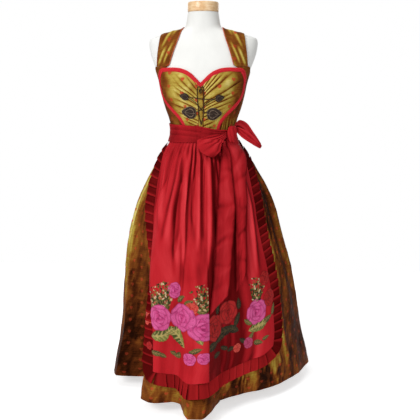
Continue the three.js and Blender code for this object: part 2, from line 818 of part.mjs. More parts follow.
function addStrapPiping(name, side) {
  const radius = 1.5;
  const points = Array.from({ length: 13 }, (_, i) => {
    const along = lerp(0.02, 0.985, i / 12);
    const { point, normal } = strapPoint(strapInner(along) - radius - SEAM - 0.2, along);
    point.addScaledVector(normal, EASE + radius);
    return point.setX(side * point.x);
  });
  addGeometry(name, PIPING, cordGeometry(points, radius, 16, 5));
}

/** Half of the ribbed tape that covers the heart's seam, crowned across its width. */
function addHeartTape(name, side) {
  const half = 6.5;
  const [edge, crown] = [1.2, 2.4];
  const apex = { angle: 0, z: 1136 };
  const route = new THREE.CatmullRomCurve3(
    [apex, ...HEART].map(({ angle, z }, i) => {
      const down = i < 7 ? 5.5 : 0;
      return new THREE.Vector3(angle * BODICE_DEGREE, z - down, 0);
    }),
    false,
    "centripetal",
  );
  addWall(name, TAPE, 36, 2, (u, v) => {
    const share = lerp(0, 0.995, u);
    const at = route.getPointAt(share);
    const along = route.getTangentAt(share);
    const over = half * (2 * v - 1);
    const first = u === 0;
    const angle = first ? inset(SEAM / 2, 0, at.y) : (at.x - along.y * over) / BODICE_DEGREE;
    const z = first ? at.y + 1.25 * over : at.y + along.x * over;
    const lift = EASE + CLOTH + 1.4;
    const [inner, outer] = [lift, lift + (v === 0.5 ? crown : edge)];
    const bounded = Math.max(angle, inset(SEAM / 2, 0, z));
    return [onForm(side * bounded, z, inner), onForm(side * bounded, z, outer)];
  });
}

/** A heart-shaped embroidered leaf, domed, lying on the gathers of the heart panel. */
function addLeaf({ name, angle, z, length, width, turn }) {
  const [sectors, lift, thick] = [14, EASE + CLOTH + 2.9, 2.6];
  const spin = radians(turn);
  const place = (a, b, out) => {
    const [x, y] = [a * Math.cos(spin) - b * Math.sin(spin), a * Math.sin(spin) + b * Math.cos(spin)];
    return onForm(angle + inset(x, angle, z), z + y, out);
  };
  const outline = (k) => {
    const t = (2 * Math.PI * k) / sectors;
    const tip = 1 - 0.5 * Math.abs(Math.sin(t / 2)) ** 1.2;
    const a = (length / 2) * (Math.cos(t) + 0.22 * (1 - Math.cos(2 * t)) - 0.1);
    return [a, (width / 2) * Math.sin(t) * (0.62 + tip * 0.45) * 1.12];
  };
  const ringOf = (share, out) => {
    return Array.from({ length: sectors }, (_, k) => {
      const [a, b] = outline(k);
      return place(a * share, b * share, out);
    });
  };
  addLoft(name, PEWTER, [
    ringOf(0.5, lift),
    ringOf(0.97, lift),
    ringOf(1, lift + 0.8),
    ringOf(0.7, lift + thick * 0.85),
    ringOf(0.3, lift + thick),
  ]);
}

// ---- the skirt ------------------------------------------------------------------------------

function addSkirtWidth({ name, stretches }) {
  const angles = stretches.flatMap(({ from, to, columns }) => {
    return Array.from({ length: columns }, (_, i) => lerp(from, to, i / columns));
  });
  angles.push(stretches.at(-1).to);
  const last = angles.length - 1;
  addWall(name, TAFFETA, last, SKIRT_ROWS.length - 1, (u, v, j, i) => {
    const z = SKIRT_ROWS[i];
    const seam = THREE.MathUtils.radToDeg(SEAM / 2 / skirtRadius(angles[j], z));
    const angle = angles[j] + seam * ((j === 0) - (j === last));
    return [onSurface(skirtRadius, angle, z, 0), onSurface(skirtRadius, angle, z, CLOTH)];
  });
}

// ---- the apron ------------------------------------------------------------------------------

const APRON_TOP = 946;
const APRON_ROWS = SKIRT_ROWS.filter((z) => z > 250 && z < APRON_TOP - 5);

/** A place on the apron: u runs from its left edge to its right edge. */
const apronPlace = (u, z) => ({ angle: lerp(apronLeft(z), apronRight(z), u), z });

function apronPoint(angle, z, out) {
  return onSurface(apronRadius, angle, z, apronOut(angle, z) + apronRise(angle, z) + out);
}

function addApron() {
  addWall("apron", SATIN, APRON_FOLDS.gathers * 2, APRON_ROWS.length + 2, (u, v, j, i) => {
    const low = apronHem(u);
    const heights = [low, (low + APRON_ROWS[0]) / 2, ...APRON_ROWS, APRON_TOP];
    const { angle, z } = apronPlace(u, heights[i]);
    return [apronPoint(angle, z, 0), apronPoint(angle, z, CLOTH)];
  });
}

/** The ruffle's seam line down the left side, along the lower edge and up the right side. */
function ruffleRoute() {
  const top = 902;
  const columns = APRON_FOLDS.gathers * 2;
  const sides = (u) => {
    const low = apronHem(u);
    const heights = [(low + APRON_ROWS[0]) / 2, ...APRON_ROWS.filter((z) => z < top), top];
    return heights.map((z) => apronPlace(u, z));
  };
  const lower = Array.from({ length: columns + 1 }, (_, j) => {
    return apronPlace(j / columns, apronHem(j / columns));
  });
  return [...sides(0).reverse(), ...lower, ...sides(1)];
}

/** Distance along the skirt from the centre front to an angle, at one height. */
function flatDistance(angle, z) {
  const steps = Math.max(2, Math.ceil(Math.abs(angle) / 1.5));
  let [sum, last] = [0, around(skirtBody(0, z), 0, z)];
  for (let i = 1; i <= steps; i += 1) {
    const at = (angle * i) / steps;
    const next = around(skirtBody(at, z), at, z);
    sum += next.distanceTo(last);
    last = next;
  }
  return Math.sign(angle) * sum;
}

/** The angle at a distance along the skirt, at one height. */
function flatAngle(distance, z) {
  let [low, high] = [-120, 120];
  for (let i = 0; i < 24; i += 1) {
    const angle = (low + high) / 2;
    if (flatDistance(angle, z) < distance) low = angle;
    else high = angle;
  }
  return low;
}

/** A route laid out flat, with its length and the place at a distance along it. */
function flatRoute(places) {
  const points = places.map(({ angle, z }) => new THREE.Vector2(flatDistance(angle, z), z));
  const steps = points.slice(1).map((p, i) => p.distanceTo(points[i]));
  const length = steps.reduce((sum, step) => sum + step, 0);
  const at = (distance) => {
    let [i, rest] = [0, distance];
    while (i < steps.length - 1 && rest > steps[i]) rest -= steps[i++];
    return points[i].clone().lerp(points[i + 1], rest / steps[i]);
  };
  return { length, at };
}

/** One stretch of the pleated ruffle, sewn to the apron's edge and fanned out round a corner. */
function addRuffle(name, from, to, route) {
  const fan = 20;
  const seam = 4;
  const [start, end] = [from, to].map((share) => share * route.length);
  const pleats = Math.round((end - start) / RUFFLE_PITCH);
  addWall(name, SATIN, pleats * 2, 2, (u, v, j) => {
    const distance = lerp(start + SEAM, end - SEAM, u);
    const at = route.at(distance);
    const along = route.at(distance + fan).sub(route.at(distance - fan)).normalize();
    const over = seam + RUFFLE_WIDTH * v;
    const z = at.y - along.x * over;
    const angle = flatAngle(at.x + along.y * over, z);
    const rise = RUFFLE_DEPTH * (j % 2) * lerp(0.35, 1, v) + CLOTH + 0.9;
    const out = apronOut(angle, z) + rise;
    return [onSurface(skirtBody, angle, z, out), onSurface(skirtBody, angle, z, out + CLOTH)];
  });
}

// ---- the sash and its bow -------------------------------------------------------------------

function addSash() {
  addWall(
    "sash",
    SATIN,
    44,
    3,
    (u, v) => {
      const angle = 360 * u;
      const z = lerp(sashBottom(wrapped(angle)), sashTop(wrapped(angle)), v);
      const crease = 1.3 * ring(2.2 * v + 0.6 * Math.sin(radians(2 * angle))) * ring(v);
      const inner = onSurface(sashRadius, angle, z, 0);
      return [inner, onSurface(sashRadius, angle, z, CLOTH + crease)];
    },
    true,
  );
}

const knotCentre = onSurface(sashRadius, knot.angle, knot.z, CLOTH + knot.depth);
const knotFrame = new THREE.Matrix4().makeRotationZ(radians(knot.angle));

/** A vector given across, outward and up at the knot, in the part's frame. */
const atKnot = (across, out, up) => {
  return new THREE.Vector3(across, -out, up).applyMatrix4(knotFrame).add(knotCentre);
};

function addKnot() {
  const [rows, columns] = [8, 14];
  const rings = [];
  for (let i = 1; i < rows; i += 1) {
    const tilt = (Math.PI * i) / rows;
    const ringPoints = [];
    for (let j = 0; j < columns; j += 1) {
      const turn = (2 * Math.PI * j) / columns;
      const wrinkle = 1 + 0.07 * Math.sin(3 * turn + 2 * tilt);
      const across = knot.half * Math.sin(tilt) * Math.cos(turn) * wrinkle;
      const out = knot.depth * Math.sin(tilt) * Math.sin(turn) * wrinkle;
      ringPoints.push(atKnot(across, Math.max(out, -knot.depth * 0.9), -knot.height * Math.cos(tilt)));
    }
    rings.push(ringPoints);
  }
  addLoft("bow_knot", SATIN, rings);
}

/** Wall from a middle surface point(u, v), with its normals worked out from its neighbours. */
function addBand(name, columns, rows, point) {
  const d = 0.004;
  addWall(name, SATIN, columns, rows, (u, v) => {
    const along = point(u + d, v).sub(point(u - d, v));
    const across = point(u, v + d).sub(point(u, v - d));
    const normal = along.cross(across).normalize();
    return [-CLOTH / 2, CLOTH / 2].map((out) => point(u, v).addScaledVector(normal, out));
  });
}

/** Course of a loop: how far along it and how far off its middle it is at a share of its length. */
function loopCourse(share, spread) {
  const turn = 2 * Math.PI * share;
  return { along: 0.5 - 0.5 * Math.cos(turn), off: spread * Math.sin(turn) + 3 * Math.cos(turn / 2) };
}

function addRightLoop() {
  const { length, spread, yaw, fall, steps, edges } = rightLoop;
  const [low, high, lean] = ["low", "high", "lean"].map((column) => curve(edges, "share", column));
  const start = atKnot(rightLoop.start.across, rightLoop.start.out, rightLoop.start.up);
  const along = new THREE.Vector3(1, 0, 0).applyAxisAngle(new THREE.Vector3(0, 1, 0), radians(fall));
  along.applyAxisAngle(new THREE.Vector3(0, 0, 1), radians(yaw));
  const out = new THREE.Vector3(0.25, -0.93, 0.2).normalize();
  const across = out.clone().cross(along).normalize();
  addBand("bow_loop_right", steps, 4, (u, v) => {
    const course = loopCourse(u, spread);
    return start
      .clone()
      .addScaledVector(along, length * course.along + lean(u) * v)
      .addScaledVector(out, course.off)
      .addScaledVector(across, lerp(low(u), high(u), v));
  });
}

function addLeftLoop() {
  const { start, end, spread, lift, root, half, fan, drop, round, steps } = leftLoop;
  addBand("bow_loop_left", steps, 4, (u, v) => {
    const course = loopCourse(u, spread);
    const width = lerp(root, half, smoothstep(course.along, 0, 0.8));
    const side = 2 * v - 1;
    const along = course.along * (1 - round * side * side);
    const angle = lerp(start.angle, end.angle, along) + side * width * fan * course.along;
    const z = lerp(start.z, end.z, along) + side * width * (0.9 - drop * course.along);
    return onSurface(bowRadius, angle, z, spread + lift + course.off);
  });
}

function addTail({ name, seat, edges }) {
  const [left, right] = [curve(edges, "z", "left"), curve(edges, "z", "right")];
  const [low, high] = [edges[0].z, edges.at(-1).z];
  const slant = 26;
  addBand(name, 4, 12, (u, v) => {
    const level = lerp(low, high, v);
    const z = level - slant * (1 - v) ** 6 * (0.5 - u) * 2;
    const angle = lerp(left(level), right(level), u);
    const fold = 3.2 * Math.sin(2.3 * Math.PI * u + 1.2 + 2.4 * v) * smoothstep(1 - v, 0, 0.25);
    return onSurface(bowRadius, angle, z, seat + Math.max(fold, -1));
  });
}

// ---- the part -------------------------------------------------------------------------------

addForm();
addStand();
for (const [side, word] of [
  [-1, "left"],
  [1, "right"],
]) {
  addHeartHalf("bodice_front_" + word, side);
  addSidePanel("bodice_side_" + word, side);
  addBackHalf("bodice_back_" + word, side);
  addStrap("strap_" + word, side);
  addStrapPiping("strap_piping_" + word, side);
  addHeartTape("heart_tape_" + word, side);
}
addPlacket();
LEAVES.forEach(addLeaf);
SKIRT_WIDTHS.forEach(addSkirtWidth);
addApron();
const edge = flatRoute(ruffleRoute());
addRuffle("ruffle_left", 0, 0.38, edge);
addRuffle("ruffle_bottom", 0.38, 0.63, edge);
addRuffle("ruffle_right", 0.63, 1, edge);
addSash();
addKnot();
addRightLoop();
addLeftLoop();
TAILS.forEach(addTail);

const dirndl = new THREE.Group();
dirndl.add(...meshes);

export default dirndl;
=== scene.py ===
"""Looks of a dirndl with its apron and bow, worn by a limbless dress form on a pole.

Sizes are millimetres and angles are degrees round the pole axis: 0 is the centre front (-Y),
90 is +X and -90 is -X. Meshes are written in metres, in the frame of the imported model.
"""
import logging
import math
from collections.abc import Callable, Sequence
from dataclasses import dataclass
from enum import Enum

import bpy
import numpy as np
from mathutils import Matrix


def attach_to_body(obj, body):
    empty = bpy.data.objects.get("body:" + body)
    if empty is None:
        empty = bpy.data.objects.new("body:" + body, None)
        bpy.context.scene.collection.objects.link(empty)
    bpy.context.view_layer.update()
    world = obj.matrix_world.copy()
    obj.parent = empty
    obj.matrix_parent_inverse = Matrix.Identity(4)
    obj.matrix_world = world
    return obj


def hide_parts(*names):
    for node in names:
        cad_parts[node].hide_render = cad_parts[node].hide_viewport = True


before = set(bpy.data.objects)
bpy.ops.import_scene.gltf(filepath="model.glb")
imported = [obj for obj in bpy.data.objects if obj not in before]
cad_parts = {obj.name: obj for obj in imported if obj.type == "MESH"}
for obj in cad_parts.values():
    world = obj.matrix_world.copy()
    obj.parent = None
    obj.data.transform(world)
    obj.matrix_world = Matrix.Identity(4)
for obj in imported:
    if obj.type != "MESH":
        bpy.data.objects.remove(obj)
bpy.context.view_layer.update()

Array = np.ndarray
Radius = Callable[[Array, Array], Array]
Pair = tuple[float, float]
Triple = tuple[float, float, float]
Colour = Triple
Socket = bpy.types.NodeSocket
Material = bpy.types.Material
Mesh = bpy.types.Mesh
Object = bpy.types.Object

LOG = logging.getLogger("dirndl")
METRES = 0.001  # millimetres to metres

SEAM = 0.3  # gap between two pieces at their seam
CLOTH = 1.5  # wall of the cloth
EASE = 1.5  # room between the form and the cloth
WAIST = 955.0
HEM = 45.0
STRAP_FRONT = 1198.0  # heights of the straps' seams
STRAP_BACK = 1262.0
BACK_SEAM = 110.0  # angle of the seam between the side panel and the back
PLACKET = 5.7  # half width of the placket, in degrees
PLACKET_TOP = 1140.0
BODICE_DEGREE = 2.1  # width of one degree of the bodice, for outlines drawn flat
BODICE_FACE = EASE + CLOTH  # height of the bodice's outer face over the form
LIGHT = np.array((-0.5, -0.62, 0.6))  # way to the light that the folds' tones are worked out for


# ---- curves, noise and small shape helpers --------------------------------------------------


def lerp(a: Array | float, b: Array | float, t: Array | float) -> Array:
    """Value between a and b at share t."""
    return a + (b - a) * t


def smoothstep(x: Array | float, low: float, high: float) -> Array:
    """Smooth step from 0 at low to 1 at high."""
    t = np.clip((np.asarray(x, float) - low) / (high - low), 0, 1)
    return t * t * (3 - 2 * t)


def ring(share: Array | float) -> Array:
    """One smooth wave from 0 to 1 and back for each whole share."""
    return 0.5 - 0.5 * np.cos(2 * np.pi * np.asarray(share, float))


def wrapped(angle: Array | float) -> Array:
    """An angle brought to -180 ... 180."""
    return (np.asarray(angle, float) + 180) % 360 - 180


class Curve:
    """Smooth monotone curve through rows of a place and a value."""

    def __init__(self, rows: Sequence[Sequence[float]], column: int = 1, period: float = 0.0) -> None:
        """Keeps the knots and their slopes.

        Args:
            rows: table rows, with the place first.
            column: the column that holds the value.
            period: a period makes the curve close on itself.
        """
        x = np.array([row[0] for row in rows], float)
        y = np.array([row[column] for row in rows], float)
        self.period = period
        self.start = x[0]
        if period:
            x = np.concatenate((x[-2:] - period, x, x[:2] + period))
            y = np.concatenate((y[-2:], y, y[:2]))
        slopes = np.diff(y) / np.diff(x)
        a, b = slopes[:-1], slopes[1:]
        same = a * b > 0
        inner = np.where(same, 2 * a * b / np.where(same, a + b, 1), 0)
        self.x, self.y = x, y
        self.slopes = np.concatenate((slopes[:1], inner, slopes[-1:]))

    def __call__(self, at: Array | float) -> Array:
        """The curve's value at a place.

        Args:
            at: the place or places.

        Returns:
            The value or values.
        """
        at = np.asarray(at, float)
        if self.period:
            at = (at - self.start) % self.period + self.start
        i = np.clip(np.searchsorted(self.x, at) - 1, 0, len(self.x) - 2)
        width = self.x[i + 1] - self.x[i]
        t = np.clip((at - self.x[i]) / width, 0, 1)
        s = 1 - t
        return (
            self.y[i] * (1 + 2 * t) * s * s
            + width * self.slopes[i] * t * s * s
            + self.y[i + 1] * t * t * (3 - 2 * t)
            - width * self.slopes[i + 1] * t * t * s
        )


class Spline:
    """Centripetal Catmull-Rom curve through points, addressed by its share of length."""

    def __init__(self, points: Sequence[Sequence[float]], steps: int = 40) -> None:
        """Samples the curve.

        Args:
            points: the points that it passes.
            steps: samples between two points.
        """
        p = np.array(points, float)
        p = np.vstack((2 * p[0] - p[1], p, 2 * p[-1] - p[-2]))
        t = np.linspace(0, 1, steps, endpoint=False)[:, None]
        pieces = []
        for i in range(1, len(p) - 2):
            a, b, c, d = p[i - 1 : i + 3]
            k = [max(np.linalg.norm(q) ** 0.5, 1e-4) for q in (b - a, c - b, d - c)]
            start = ((b - a) / k[0] - (c - a) / (k[0] + k[1]) + (c - b) / k[1]) * k[1]
            end = ((c - b) / k[1] - (d - b) / (k[1] + k[2]) + (d - c) / k[2]) * k[1]
            square, cube = t * t, t * t * t
            pieces.append(
                (2 * cube - 3 * square + 1) * b
                + (cube - 2 * square + t) * start
                + (3 * square - 2 * cube) * c
                + (cube - square) * end
            )
        self.points = np.vstack((*pieces, p[-2:-1]))
        lengths = np.linalg.norm(np.diff(self.points, axis=0), axis=1)
        self.along = np.concatenate(((0.0,), np.cumsum(lengths)))

    @property
    def length(self) -> float:
        """Length of the curve."""
        return float(self.along[-1])

    def at(self, share: Array | float) -> Array:
        """Points at shares of the length."""
        at = np.asarray(share, float) * self.length
        return np.stack([np.interp(at, self.along, c) for c in self.points.T], -1)

    def direction(self, share: Array | float, step: float = 0.004) -> Array:
        """Unit directions at shares of the length.

        Args:
            share: shares of the length.
            step: share of the length that is looked ahead and back.

        Returns:
            A unit vector for each share.
        """
        share = np.asarray(share, float)
        ahead = self.at(np.clip(share + step, 0, 1)) - self.at(np.clip(share - step, 0, 1))
        return ahead / np.linalg.norm(ahead, axis=-1, keepdims=True)


def value_noise(x: Array, y: Array, seed: float) -> Array:
    """Smooth random field from -1 to 1 with one value for each unit cell.

    Args:
        x: first coordinate.
        y: second coordinate.
        seed: picks another field.

    Returns:
        The field's values.
    """
    x, y = np.broadcast_arrays(np.asarray(x, float), np.asarray(y, float))
    column, row = np.floor(x), np.floor(y)

    def corner(i: int, j: int) -> Array:
        """Random value at a lattice corner."""
        hashed = np.sin((column + i) * 127.1 + (row + j) * 311.7 + seed * 74.7) * 43758.5453
        return 2 * (hashed - np.floor(hashed)) - 1

    u, v = smoothstep(x - column, 0, 1), smoothstep(y - row, 0, 1)
    return lerp(lerp(corner(0, 0), corner(1, 0), u), lerp(corner(0, 1), corner(1, 1), u), v)


def crumple(x: Array, y: Array, seed: float) -> Array:
    """Creased field from 0 to 1 with sharp ridges, as crisp cloth takes.

    Args:
        x: first coordinate, in crease spacings.
        y: second coordinate, in crease spacings.
        seed: picks another field.

    Returns:
        The field's values.
    """
    coarse = 1 - np.abs(value_noise(x + 0.4 * y, y - 0.2 * x, seed))
    fine = 1 - np.abs(value_noise(2.3 * x - 0.7 * y, 2.1 * y + 0.5 * x, seed + 5))
    return 0.65 * coarse**2 + 0.35 * fine**2


def around(radius: Array, angle: Array, z: Array) -> Array:
    """Points at a distance from the pole axis."""
    turn = np.radians(angle)
    return stacked(radius * np.sin(turn), -radius * np.cos(turn), z)


def unit(vectors: Array) -> Array:
    """Vectors brought to length 1."""
    return vectors / np.maximum(np.linalg.norm(vectors, axis=-1, keepdims=True), 1e-12)


def on_surface(radius: Radius, angle: Array, z: Array, out: Array | float = 0.0) -> Array:
    """Points of a surface given by its radius, moved out along its normal.

    Args:
        radius: radius of the surface at an angle and a height.
        angle: angles.
        z: heights.
        out: distance from the surface.

    Returns:
        Points with a last axis of 3.
    """
    angle, z, out = np.broadcast_arrays(
        np.asarray(angle, float), np.asarray(z, float), np.asarray(out, float)
    )

    def point(a: Array, h: Array) -> Array:
        """Point of the bare surface."""
        return around(radius(a, h), a, h)

    round_it = point(angle + 0.5, z) - point(angle - 0.5, z)
    up = point(angle, z + 2) - point(angle, z - 2)
    return point(angle, z) + unit(np.cross(round_it, up)) * out[..., None]


def shares(columns: int, rows: int) -> tuple[Array, Array]:
    """Shares from 0 to 1 across a grid, in a row, and along it, in a column."""
    return np.linspace(0, 1, columns)[None], np.linspace(0, 1, rows)[:, None]


def stacked(*columns: Array | float) -> Array:
    """Coordinates brought to one shape and stacked on a last axis."""
    return np.stack(np.broadcast_arrays(*columns), -1)


def turned_by(a: Array, b: Array, turn: float) -> tuple[Array, Array]:
    """Two coordinates turned by an angle in radians."""
    return a * math.cos(turn) - b * math.sin(turn), a * math.sin(turn) + b * math.cos(turn)


def grid_normals(points: Array) -> Array:
    """Unit normals of a grid of points, on the side of its columns crossed with its rows.

    Args:
        points: grid of points.

    Returns:
        A unit vector for each point.
    """
    along = np.gradient(points, axis=1)
    up = np.gradient(points, axis=0)
    return unit(np.cross(along, up))


@dataclass(frozen=True)
class Crease:
    """A soft ridge, or a trough where its height is below 0, running down a hanging cloth.

    The places are an angle and a height each; bend is how far its middle drifts, in degrees.
    """

    top: Pair
    foot: Pair
    width: float
    height: float
    bend: float = 0.0

    def relief(self, angle: Array, z: Array, radius: Array) -> Array:
        """Height of the crease over the cloth.

        Args:
            angle: angles of the points.
            z: heights of the points.
            radius: their distance from the pole axis.

        Returns:
            Millimetres out of the cloth.
        """
        share = (self.top[1] - z) / (self.top[1] - self.foot[1])
        t = np.clip(share, 0, 1)
        line = lerp(self.top[0], self.foot[0], t) + self.bend * np.sin(np.pi * t)
        across = np.radians(wrapped(angle - line)) * radius / self.width
        fade = smoothstep(share, -0.06, 0.16) * smoothstep(1 - share, -0.04, 0.4)
        return self.height * np.exp(-across * across) * fade


# ---- meshes ---------------------------------------------------------------------------------


def new_mesh(name: str, vertices: Array, faces: list) -> Mesh:
    """A mesh from its vertices, in millimetres, and its faces.

    Args:
        name: its name.
        vertices: a place for each vertex.
        faces: the vertex numbers of each face.

    Returns:
        The new mesh.
    """
    mesh = bpy.data.meshes.new(name)
    mesh.from_pydata((vertices * METRES).tolist(), [], faces)
    return mesh


def grid_faces(index: Array) -> Array:
    """Faces between the rows and columns of a grid of vertex numbers."""
    corners = (index[:-1, :-1], index[:-1, 1:], index[1:, 1:], index[1:, :-1])
    return np.stack(corners, -1).reshape(-1, 4)


def lay_flat(mesh: Mesh, flat: Array) -> None:
    """Writes each vertex's place on the flat cloth, in millimetres, as UVs in metres.

    Args:
        mesh: the mesh.
        flat: a flat place for each of its vertices.
    """
    loops = np.empty(len(mesh.loops), np.int32)
    mesh.loops.foreach_get("vertex_index", loops)
    layer = mesh.uv_layers.new(name="cloth")
    layer.data.foreach_set("uv", (flat * METRES)[loops].astype(np.float32).ravel())


def new_object(name: str, mesh: Mesh, material: Material) -> Object:
    """An object in the scene for a mesh.

    Args:
        name: name of the piece.
        mesh: its mesh.
        material: its material.

    Returns:
        The new object, smooth shaded.
    """
    mesh.materials.append(material)
    mesh.shade_smooth()
    made = bpy.data.objects.new(name, mesh)
    bpy.context.scene.collection.objects.link(made)
    return made


def attach(piece: Object, slot: str, *nodes: str) -> Object:
    """Hangs a piece on the part's one body, hides the CAD nodes that it replaces and logs its faces and area.

    Args:
        piece: the new piece.
        slot: not used.
        nodes: the CAD nodes that it replaces.

    Returns:
        The piece.
    """
    if nodes:
        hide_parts(*nodes)
    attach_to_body(piece, "root")
    area = sum(face.area for face in piece.data.polygons)
    LOG.info("%s: %d faces, %.4f square metres", piece.name, len(piece.data.polygons), area)
    return piece


@dataclass
class Sheet:
    """A cloth wall from a grid of outer points, with what its finish reads.

    flat holds each point's place on the cloth in millimetres, and tone runs from 0 in the shade of
    a fold to 1 on its lit side. wrap closes the grid on itself, and outward says that the outer face
    looks away from the pole.
    """

    name: str
    points: Array
    flat: Array
    tone: Array
    thickness: float = 0.8
    wrap: bool = False
    outward: bool = True

    def build(self, material: Material) -> Object:
        """Makes the object.

        Args:
            material: the cloth's material.

        Returns:
            The new object.
        """
        rows, columns = self.points.shape[:2]
        normals = self.normals()
        inner = self.points - normals * self.thickness
        vertices = np.concatenate((self.points.reshape(-1, 3), inner.reshape(-1, 3)))
        index = np.arange(rows * columns).reshape(rows, columns)
        if self.wrap:
            index = np.concatenate((index, index[:, :1]), 1)
        front = grid_faces(index)
        faces = [front, front[:, ::-1] + rows * columns]
        edges = [index[0, ::-1], index[-1]]
        if not self.wrap:
            edges += [index[:, 0], index[::-1, -1]]
        for line in edges:
            far = line + rows * columns
            faces.append(np.stack((line[:-1], line[1:], far[1:], far[:-1]), -1))
        faces = np.concatenate(faces)
        if self.outward and np.sum(normals * self.points * (1, 1, 0)) < 0:
            faces = faces[:, ::-1]
        mesh = new_mesh(self.name, vertices, faces.tolist())
        border = np.zeros((rows, columns), bool)
        border[[0, -1]] = True
        if not self.wrap:
            border[:, [0, -1]] = True
        self._sharpen(mesh, np.tile(border.ravel(), 2), rows * columns)
        lay_flat(mesh, np.tile(self.flat.reshape(-1, 2), (2, 1)))
        tone = np.tile(self.tone.ravel(), 2).astype(np.float32)
        mesh.attributes.new("tone", "FLOAT", "POINT").data.foreach_set("value", tone)
        return new_object(self.name, mesh, material)

    def sew(self, material: Material, slot: str, node: str) -> None:
        """Makes the object in the place of its CAD node."""
        attach(self.build(material), slot, node)

    def normals(self) -> Array:
        """Normals of the grid that point away from the pole where the cloth is worn outward."""
        if self.wrap:
            wide = np.concatenate((self.points[:, -1:], self.points, self.points[:, :1]), 1)
            normals = grid_normals(wide)[:, 1:-1]
        else:
            normals = grid_normals(self.points)
        outward = np.sum(normals * self.points * (1, 1, 0))
        return -normals if self.outward and outward < 0 else normals

    def _sharpen(self, mesh: Mesh, border: Array, layer: int) -> None:
        """Marks the rim's edges sharp, so that the thin edge doesn't darken the cloth.

        Args:
            mesh: the sheet's mesh.
            border: which of its vertices lie on the rim.
            layer: number of vertices in one of its two layers.
        """
        edges = np.empty(len(mesh.edges) * 2, np.int32)
        mesh.edges.foreach_get("vertices", edges)
        a, b = edges.reshape(-1, 2).T
        sharp = border[a] & border[b] & ((a < layer) == (b < layer))
        mesh.attributes.new("sharp_edge", "BOOLEAN", "EDGE").data.foreach_set("value", sharp)


def relief_tone(points: Array, body: Array, base: Array | float, gain: Array | float = 1.6) -> Array:
    """Tone of changeant cloth from how its folds turn to the light.

    Args:
        points: grid of the folded cloth.
        body: the same grid without folds.
        base: tone of the smooth cloth.
        gain: how strongly the folds change it.

    Returns:
        Tone from 0 to 1.
    """
    turn = np.sum((grid_normals(points) - grid_normals(body)) * unit(LIGHT), -1)
    return np.clip(base + gain * turn, 0, 1)


def corded(name: str, paths: Sequence[Array], radius: float, sides: int, twist: float, strands: int,
           material: Material) -> Object:
    """One piece from closed round cords, each laid of strands.

    Args:
        name: name of the piece.
        paths: centre line of each cord, in millimetres.
        radius: radius of the cords.
        sides: points round a cord.
        twist: length of one turn of the strands.
        strands: strands in a cord.
        material: their material.

    Returns:
        The new object.
    """
    vertices, faces, flats, count = [], [], [], 0
    for path in paths:
        points, cord_faces, flat = cord_parts(path, radius, sides, twist, strands)
        vertices.append(points)
        faces += [tuple(k + count for k in face) for face in cord_faces]
        flats.append(flat)
        count += len(points)
    mesh = new_mesh(name, np.concatenate(vertices), faces)
    lay_flat(mesh, np.concatenate(flats))
    return new_object(name, mesh, material)


def cord_parts(path: Array, radius: float, sides: int, twist: float,
               strands: int) -> tuple[Array, list, Array]:
    """Vertices, faces and flat places of one cord.

    Args:
        path: its centre line.
        radius: its radius.
        sides: points round it.
        twist: length of one turn of its strands.
        strands: strands laid round it.

    Returns:
        Vertices, faces and the vertices' flat places.
    """
    tangent = unit(np.gradient(path, axis=0))
    side = np.cross(tangent[0], (0.3, 0.5, 0.81))
    frames = []
    for t in tangent:
        side = side - t * np.dot(side, t)
        side = side / np.linalg.norm(side)
        frames.append((side, np.cross(t, side)))
    first, second = (np.array([f[k] for f in frames])[:, None] for k in (0, 1))
    along = np.concatenate(((0.0,), np.cumsum(np.linalg.norm(np.diff(path, axis=0), axis=1))))
    turn = np.linspace(0, 2 * np.pi, sides, endpoint=False)[None, :, None]
    phase = strands * (turn + 2 * np.pi * along[:, None, None] / twist) / 2
    reach = radius * (0.86 + 0.14 * np.abs(np.sin(phase)) ** 0.6)
    rings = path[:, None] + reach * (np.cos(turn) * first + np.sin(turn) * second)
    count = len(path)
    vertices = np.concatenate((rings.reshape(-1, 3), path[:1], path[-1:]))
    faces = []
    for i in range(count - 1):
        for j in range(sides):
            a, b = i * sides + j, i * sides + (j + 1) % sides
            faces.append((a, b, b + sides, a + sides))
    for j in range(sides):
        k = (j + 1) % sides
        faces.append((count * sides, k, j))
        faces.append((count * sides + 1, (count - 1) * sides + j, (count - 1) * sides + k))
    flat = stacked(turn[0, :, 0] * radius, along[:, None])
    flat = np.concatenate((flat.reshape(-1, 2), flat[0, :1], flat[-1, :1]))
    return vertices, faces, flat


def turned(name: str, profile: Sequence[Pair], segments: int,
           material: Material) -> Object:
    """A solid turned round the pole axis.

    Args:
        name: name of the piece.
        profile: radius and height pairs from the axis and back to it.
        segments: faces round it.
        material: its material.

    Returns:
        The new object.
    """
    inner = np.array(profile[1:-1], float)
    angle = np.linspace(0, 360, segments, endpoint=False)
    rings = around(inner[:, :1], angle[None], inner[:, 1:])
    ends = np.array([(0, 0, profile[0][1]), (0, 0, profile[-1][1])], float)
    vertices = np.concatenate((rings.reshape(-1, 3), ends))
    last = (len(inner) - 1) * segments
    faces = []
    for j in range(segments):
        k = (j + 1) % segments
        faces += [(i * segments + j, i * segments + k, (i + 1) * segments + k, (i + 1) * segments + j)
                  for i in range(len(inner) - 1)]
        faces += [(last + segments, k, j), (last + segments + 1, last + j, last + k)]
    mesh = new_mesh(name, vertices, faces)
    made = new_object(name, mesh, material)
    mesh.set_sharp_from_angle(angle=math.radians(40))
    return made


def rounded(radius: float, low: float, high: float, edge: float, steps: int = 5) -> list[Pair]:
    """Profile of a disc with round edges.

    Args:
        radius: its radius.
        low: height of its underside.
        high: height of its top.
        edge: radius of its edges.
        steps: faces in each rounding.

    Returns:
        Radius and height pairs from the axis and back to it.
    """
    turns = np.linspace(0, math.pi / 2, steps)
    under = [(radius - edge + edge * math.sin(t), low + edge - edge * math.cos(t)) for t in turns]
    over = [(radius - edge + edge * math.cos(t), high - edge + edge * math.sin(t)) for t in turns]
    return [(0, low), (radius * 0.5, low), *under, *over, (radius * 0.5, high), (0, high)]


